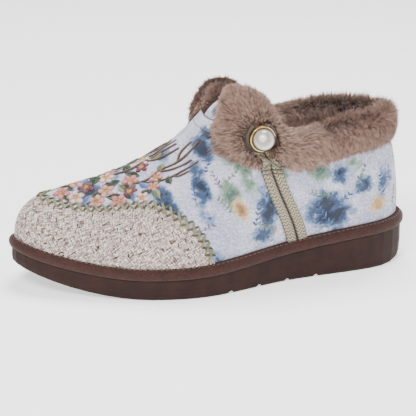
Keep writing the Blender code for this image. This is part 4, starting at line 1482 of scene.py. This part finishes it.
def lathe(name, profile, sides, material, replaces):
    """A body turned round an axis along Y at the pearl: rows of radius and place along Y."""
    angles = np.arange(sides) * 2 * math.pi / sides
    centre = pearl_centre()
    rings = []
    for radius, along_y in profile:
        ring = [np.cos(angles) * radius, np.full(sides, along_y), np.sin(angles) * radius]
        rings.append(np.stack(ring, axis=1) + centre)
    rings = np.array(rings)
    faces = grid_faces(len(rings), sides, wrap=True)
    turned = mesh_object(name, rings, faces, material, (replaces,))
    mend(turned.data, merge=MM / 1000, fill=True)
    turned.data.shade_smooth()
    turned.data.set_sharp_from_angle(angle=math.radians(60))
    return turned


# The way to the pearl's painted highlight, and the painted tone by the angle away from there: a bright spot,
# a darker ring round it and lighter again further off
PAINTED_HIGHLIGHT_WAY = (-0.48, -1.0, 0.5)
PAINTED_HIGHLIGHT_ANGLES = (0, 12, 26, 40, 62, 80)
PAINTED_HIGHLIGHT_TONES = (1.0, 0.95, 0.25, 0.35, 0.9, 1.0)
LATHE_SIDES = 72


def make_button():
    coat = {"Coat_Weight": 1.0, "Coat_Roughness": 0.08, "Specular_IOR_Level": 0.3}
    pearl = Shader("pearl_fine", roughness=0.3, **coat)
    # Painted shade: the pearl's colour darkens to a dark brown towards its rim, where its surface turns away
    # from the view.
    rim_shade_facing = pearl.node("ShaderNodeLayerWeight", "Facing", Blend=0.5)
    # Painted highlight: the tone attribute mixes a bright spot and a darker ring round it into the pearl's
    # colour, and glow holds this painted light.
    glow = pearl.mix(pearl.attribute("tone"), srgb(92, 80, 70), srgb(238, 232, 222))
    pearl.paint(pearl.mix(pearl.ramp(rim_shade_facing, 0.3, 0.65), glow, srgb(30, 20, 14)))
    back_angle = math.asin(PEARL_BACK / PEARL_RADIUS)
    angles = np.linspace(-math.pi / 2, back_angle, 40)
    profile = [(PEARL_RADIUS * math.cos(angle), PEARL_RADIUS * math.sin(angle)) for angle in angles]
    profile.append((0.0, PEARL_BACK))
    ball = lathe("pearl_ball", profile, LATHE_SIDES, pearl.material, "pearl")
    # Each point of the ball takes its painted highlight tone by its angle from the highlight's way.
    out = unit(np.array([vert.co for vert in ball.data.vertices]) - pearl_centre())
    away = np.degrees(np.arccos(np.clip(out @ unit(np.array(PAINTED_HIGHLIGHT_WAY)), -1, 1)))
    point_values(ball.data, "tone", np.interp(away, PAINTED_HIGHLIGHT_ANGLES, PAINTED_HIGHLIGHT_TONES))
    gold = Shader("bezel_fine", (0.80, 0.56, 0.26), 0.22, Metallic=1.0)
    inside = PEARL_RADIUS + GAP * 0.5
    outside = PEARL_RADIUS + GAP + BEZEL_WALL
    base = PEARL_BACK + GAP
    rim = np.linspace(math.pi, 0, 9)
    middle = (inside + outside) / 2
    lip = (outside - inside) / 2
    profile = [(0.0, base), (inside * 0.8, base)]
    profile += [(middle + lip * math.cos(angle), BEZEL_RIM - 0.6 * lip * math.sin(angle)) for angle in rim]
    bottom = base + BEZEL_BASE
    profile += [(outside, base + BEZEL_BASE / 2), (outside - BEZEL_BASE, bottom), (0.0, bottom)]
    lathe("gold_cup", profile, LATHE_SIDES, gold.material, "button_bezel")


# Tongue

TONGUE_THICKNESS = 3 * MM
TONGUE_REACH = 29 * MM
TONGUE_TUCK = 0.12
TONGUE_HALF_TURN = 0.040
TONGUE_START_ANGLE = math.radians(60)
TONGUE_END_ANGLE = math.radians(12)
TONGUE_CORNER = 0.42
TONGUE_COLUMNS = 61
TONGUE_TUCKED_ROWS = 12
TONGUE_FREE_ROWS = 44
TONGUE_PRINT_HALF = 12 * MM
TONGUE_WASH_REACH = 6 * MM

# Blue washes of the tongue: row over the tucked ones, share of the width
TONGUE_WASHES = ((14, 0.25), (28, 0.7), (38, 0.35))


def make_tongue():
    column = np.linspace(-1, 1, TONGUE_COLUMNS)
    turn = 0.5 + TONGUE_HALF_TURN * column
    depth = UPPER_WALL + GAP
    tucked = np.linspace(1 - TONGUE_TUCK, 1, TONGUE_TUCKED_ROWS)[:, None]
    front = list(upper_point(turn[None, :], tucked, -depth))
    back = list(upper_point(turn[None, :], tucked, -depth - TONGUE_THICKNESS))
    reach = TONGUE_REACH * (1 - TONGUE_CORNER * np.abs(column) ** 3)
    place = front[-1]
    for step in range(TONGUE_FREE_ROWS):
        turned = (step + 0.5) / TONGUE_FREE_ROWS
        angle = TONGUE_START_ANGLE + (TONGUE_END_ANGLE - TONGUE_START_ANGLE) * turned
        way = np.array([math.cos(angle), 0, math.sin(angle)])
        normal = np.array([-math.sin(angle), 0, math.cos(angle)])
        place = place + way * (reach / TONGUE_FREE_ROWS)[:, None]
        front.append(place)
        back.append(place - normal * TONGUE_THICKNESS)
    front, back = np.array(front), np.array(back)
    middle = (front + back) / 2
    below_top = np.arange(len(front))[::-1, None] / len(front)
    edge = np.minimum(1 - np.abs(column)[None, :], below_top)
    full = np.sqrt(np.clip(1 - (1 - np.clip(edge / 0.08, 0, 1)) ** 2, 0.05, 1))[..., None]
    front = middle + (front - middle) * full
    back = middle + (back - middle) * full
    free = middle[TONGUE_TUCKED_ROWS:]
    # A dark cord along the tongue's free edge: partly an edging, partly a painted shadow line where the
    # tongue stands in front of the plush.
    edging_and_shade = Threads(6)
    edging_and_shade.add(np.concatenate([free[:, 0], free[-1, 1:-1], free[::-1, -1]]), 0.75 * MM, 0.2)
    edging_and_shade_thread = thread_shader("edging_and_shade", srgb(44, 34, 32), srgb(84, 70, 66))
    edging_and_shade.finish("tongue_edging_and_shade", edging_and_shade_thread, slot="tongue_print")
    points = np.concatenate([front, back[:, ::-1]], axis=1)
    rows, count = points.shape[:2]
    around = np.concatenate([column, column[::-1], column[:1]]) * TONGUE_PRINT_HALF
    width = np.broadcast_to(around, (rows, count + 1))
    v = np.broadcast_to(arc_lengths(points.mean(axis=1), 0)[:, None], (rows, count))
    blue = np.zeros((rows, count))
    for row, part in TONGUE_WASHES:
        away = points - points[TONGUE_TUCKED_ROWS + row, int(TONGUE_COLUMNS * part)]
        blue = np.maximum(blue, np.exp(-np.sum((away / TONGUE_WASH_REACH) ** 2, axis=-1)))
    zero = np.zeros(blue.shape)
    tongue = mesh_object(
        "tongue_cloth",
        points,
        grid_faces(rows, count, wrap=True),
        bpy.data.materials["printed_cotton"],
        replaces=("tongue",),
        uv=grid_uv(width, v, wrap=True),
        colors={"blue": blue, "green": zero, "ochre": zero, "lilac": zero},
    )
    mend(tongue.data, fill=True)


# Pile

FUR_SINK = 2.4 * MM
FUR_REACH = 3.2 * MM
FUR_RAISED = 1.0 * MM
FUR_ROOM = 1.0 * MM
FUR_COUNT = 175000
FUR_PIECES = 4
NEAR_LOBE_CENTRE = (0.019, -0.043, 0.098)
FAR_LOBE_CENTRE = (0.019, 0.046, 0.098)
HAIR_DROOP = 0.048


def triples(entries, key, kind=float):
    """Three numbers for each vertex or triangle of a mesh."""
    found = np.zeros(len(entries) * 3, kind)
    entries.foreach_get(key, found)
    return found.reshape(-1, 3)


def surface_samples(mesh, count, rng, keep):
    """Random points on a mesh's faces with their smooth normals. keep says which triangles take part."""
    mesh.calc_loop_triangles()
    corners = triples(mesh.loop_triangles, "vertices", np.int32)
    points = triples(mesh.vertices, "co")
    normals = triples(mesh.vertices, "normal")
    first, second, third = points[corners.T]
    face_normal = np.cross(second - first, third - first)
    area = np.linalg.norm(face_normal, axis=1)
    use = keep(points[corners].mean(axis=1), unit(face_normal))
    area = area * use
    chosen = rng.choice(len(corners), size=count, p=area / area.sum())
    first, second = rng.random((2, count))
    flip = first + second > 1
    first[flip], second[flip] = 1 - first[flip], 1 - second[flip]
    weights = np.stack([1 - first - second, first, second], axis=1)[..., None]
    place = (points[corners[chosen]] * weights).sum(axis=1)
    smooth = (normals[corners[chosen]] * weights).sum(axis=1)
    blended = unit(smooth + unit(face_normal)[chosen])
    return place, blended


def add_pile(name, hairs, width, rng, material, clump, clump_gap, pieces=1, painted_shading=1.0):
    """Tapered hairs, each a thin bent strip, whose tips draw together in locks. hairs holds their
    roots, normals, ways and lengths, and painted_shading scales how far each hair turns from its dark root
    colour to its tip colour: below 1 it paints shade, above 1 it paints light."""
    roots, normals, ways, lengths = hairs
    count = len(roots)
    tips = roots + ways * lengths[:, None]
    leaders = np.arange(0, count, clump_gap)
    tree = point_tree(roots[leaders])
    nearest = np.array([tree.find(Vector(point))[1] for point in roots])
    lead = leaders[nearest]
    drawn = tips[lead] + (roots - roots[lead]) * 0.15
    hold = clump * rng.uniform(0.55, 1.0, count)[:, None]
    tips = tips + (drawn - tips) * hold
    tint = 0.55 * rng.random(count)[lead] + 0.45 * rng.random(count)
    span = tips - roots
    middle = roots + span * 0.5 + normals * (np.linalg.norm(span, axis=1) * 0.16)[:, None]
    middle = middle + np.array([0, 0, 1.0]) * (HAIR_DROOP * lengths)[:, None]
    across = unit(np.cross(span, normals) + rng.normal(0, 0.25, (count, 3)) * lengths[:, None])
    foot = across * (width * rng.uniform(0.7, 1.3, count))[:, None] / 2
    bend = foot * 0.9
    points = np.stack([roots - foot, roots + foot, middle - bend, middle + bend, tips], axis=1)
    height = np.array([0.0, 0.0, 0.55, 0.55, 1.0]) * np.broadcast_to(painted_shading, count)[:, None]
    tints = np.broadcast_to(tint[:, None], (count, 5))
    for piece, chosen in enumerate(np.array_split(rng.permutation(count), pieces)):
        start = 5 * np.arange(len(chosen))[:, None]
        faces = (start + np.array([0, 1, 3, 2])).tolist() + (start + np.array([2, 3, 4])).tolist()
        colors = {"height": height[chosen], "tint": tints[chosen]}
        mesh_object(f"{name}_{piece + 1}", points[chosen], faces, material, colors=colors)


def point_tree(points):
    tree = KDTree(len(points))
    for index, point in enumerate(points):
        tree.insert(Vector(point), index)
    tree.balance()
    return tree


def pile_shader(name, root, low, high):
    shader = Shader(name, roughness=0.72, Sheen_Weight=0.3, Sheen_Roughness=0.4)
    height = shader.attribute("height")
    tint = shader.attribute("tint")
    # Each hair turns from the dark root colour at its foot to its tip colour: the root colour is painted
    # shade deep in the pile, and tint picks the tip colour between low and high at random.
    top = shader.mix(tint, low, high)
    shader.paint(shader.mix(shader.ramp(height, 0.1, 1.0), root, top))
    return shader.material


def tree_of(mesh):
    corners = [vert.co for vert in mesh.vertices]
    return BVHTree.FromPolygons(corners, [face.vertices for face in mesh.polygons])


def room_to(tree, points):
    """How far each point lies from a tree's faces."""
    return np.array([tree.find_nearest(Vector(point))[3] for point in points])


def sink_depth(room):
    """How deep hairs are rooted where the cloth under them leaves this much room."""
    return np.clip(0.5 * (room - FUR_ROOM), 0, FUR_SINK)


def make_fur(frame):
    """The plush collar: a core sunk below the solid's surface, and hairs that lean by their place."""
    rng = np.random.default_rng(SEED + 2)
    solid = frame["nodes"]["fur_collar"]
    work = bmesh.new()
    work.from_mesh(solid.data)
    bmesh.ops.remove_doubles(work, verts=work.verts, dist=MM / 100)
    neighbours = ("upper", "strap", "button_bezel", "pearl")
    walls = [tree_of(frame["nodes"][name].data) for name in neighbours]
    free = [vert for vert in work.verts if walls[0].find_nearest(vert.co)[3] > 1.2 * MM]
    axes = {f"use_axis_{axis}": True for axis in "xyz"}
    for _ in range(3):
        bmesh.ops.smooth_vert(work, verts=free, factor=0.5, **axes)
    work.normal_update()
    even = bpy.data.meshes.new("even_pile")
    work.to_mesh(even)
    for vert in work.verts:
        vert.co -= vert.normal * float(sink_depth(walls[0].find_nearest(vert.co)[3]))
    mesh = bpy.data.meshes.new("fur_core")
    work.to_mesh(mesh)
    work.free()
    core_material = Shader("plush_core", srgb(82, 60, 52), 0.95).material
    show("fur_core", mesh, core_material, ("fur_collar",))

    def keep(centres, normals):
        use = np.ones(len(centres))
        for index, (centre, normal) in enumerate(zip(centres, normals)):
            start = Vector(centre + normal * 0.02 * MM)
            if walls[0].ray_cast(start, Vector(normal), 1.4 * MM)[0] is not None:
                use[index] = 0
            for wall in walls[1:]:
                if wall.find_nearest(Vector(centre), 1.3 * MM)[0] is not None:
                    use[index] = 0
        return use

    count = FUR_COUNT
    place, normal = surface_samples(even, count, rng, keep)
    on_lobe = np.clip((0.062 - place[:, 0]) / 0.014, 0, 1)[:, None]
    centre = np.where((place[:, 1] < 0)[:, None], NEAR_LOBE_CENTRE, FAR_LOBE_CENTRE)
    radial = unit(place - centre)
    level = np.stack([0.15 * np.ones(count), np.sign(place[:, 1]), np.zeros(count)], axis=1)
    heel = np.clip((place[:, 0] - 0.098) / 0.02, 0, 1)[:, None]
    level = level * (1 - heel) + np.array([1.0, 0.0, 0.0]) * heel
    downward = unit(level * 0.55 + np.array([0.18, 0, -1.0]))
    field = unit(radial * on_lobe + downward * (1 - on_lobe))
    field = field + rng.normal(0, 0.16, (count, 3))
    flat = field - normal * np.sum(field * normal, axis=1)[:, None]
    flat = unit(flat)
    guard = rng.random(count) < 0.22
    raised = np.clip(normal[:, 2], 0, 1) * np.clip((place[:, 0] - 0.05) / 0.03, 0, 1)
    rise = np.radians(rng.normal(40, 9, count) + 18 * guard + 22 * raised)[:, None]
    ways = flat * np.cos(rise) + normal * np.sin(rise)
    lengths = rng.uniform(5.6, 9.2, count) * MM
    close = np.minimum(room_to(walls[1], place), room_to(walls[3], place))
    lengths *= np.clip(close / (6 * MM), 0.35, 1)
    roots = place - normal * sink_depth(room_to(walls[0], place))[:, None]
    around = tree_of(even)
    out = []
    for tip in roots + ways * lengths[:, None]:
        nearest, facing, _, distance = around.find_nearest(Vector(tip))
        out.append(distance if (Vector(tip) - nearest).dot(facing) > 0 else 0.0)
    reach = FUR_REACH + FUR_RAISED * raised
    lengths *= np.clip(reach / np.maximum(out, MM / 100), 0.4, 1)
    lengths *= (1 + 0.3 * raised) * (1 + 0.35 * guard)
    # Painted light and shade on the pile: hairs on the band's inner side, facing into the opening, are
    # darkened as painted shade, and hairs on the lobes' inner faces, where the other lobe casts shade, are
    # lightened as painted light.
    inward = np.clip(-1.3 * normal[:, 1] * np.sign(place[:, 1]), 0, 1)
    on_band = np.clip((place[:, 0] - 0.045) / 0.01, 0, 1)
    painted_shading = 1 + inward * (0.7 * (1 - on_band) - 0.3 * on_band)
    # The first colour is the dark root of each hair, painted shade deep in the pile.
    material = pile_shader("plush_hair", srgb(38, 23, 18), srgb(124, 91, 77), srgb(208, 173, 155))
    hairs = (roots, normal, ways, lengths)
    add_pile("fur_hair", hairs, 0.28 * MM, rng, material, 0.55, 12, FUR_PIECES, painted_shading)


INSOLE_THICKNESS = 4 * MM
INSOLE_GAP = 0.5 * MM
INSOLE_STATIONS = 200
INSOLE_HAIRS = 8000

# The insole's side from below
INSOLE_SIDE = (
    # inset in mm, share of the thickness
    (0.6, 0.0),
    (0.0, 0.15),
    (0.0, 0.8),
    (0.4, 0.94),
    (1.2, 1.0),
)


def make_insole():
    rng = np.random.default_rng(SEED + 3)
    edge = FEATHER_INSET + UPPER_WALL + INSOLE_GAP
    profile = [(edge + inset * MM, share) for inset, share in INSOLE_SIDE]
    shader = Shader("insole_fine", roughness=0.95, Sheen_Weight=0.4)
    mottle = shader.noise(shader.coordinates(), 240.0, 4.0, 0.6)
    shader.paint(shader.mix(mottle, srgb(96, 72, 62), srgb(150, 122, 110)))
    shader.bump(mottle, 0.8, 0.8 * MM)

    def low(x):
        return deck_height(x) + GAP

    def high(x):
        return deck_height(x) + GAP + INSOLE_THICKNESS

    def keep(centres, normals):
        return (normals[:, 2] > 0.4) * np.ones(len(centres))

    sides = (profile, low, high, INSOLE_STATIONS)
    plate = plate_object("insole_cloth", *sides, shader.material, "insole_plush", "insole")
    place, normal = surface_samples(plate.data, INSOLE_HAIRS, rng, keep)
    inside = np.abs(place[:, 1]) < 0.05
    place, normal = place[inside], normal[inside]
    count = len(place)
    ways = unit(normal * 0.8 + rng.normal(0, 0.45, (count, 3)))
    lengths = rng.uniform(1.2, 2.4, count) * MM
    # The first colour is the dark root of each hair, painted shade deep in the pile.
    material = pile_shader("insole_hair", srgb(84, 62, 54), srgb(132, 104, 92), srgb(180, 152, 138))
    hairs = (place - normal * 0.3 * MM, normal, ways, lengths)
    add_pile("insole_hair", hairs, 0.7 * MM, rng, material, 0.4, 6)


def main():
    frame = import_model()
    make_camera()
    make_studio()
    make_upper()
    make_toe_cap()
    make_cross_stitches()
    make_needlework()
    make_print()
    make_seams()
    make_sole(frame)
    make_strap()
    make_button()
    make_tongue()
    make_fur(frame)
    make_insole()


main()
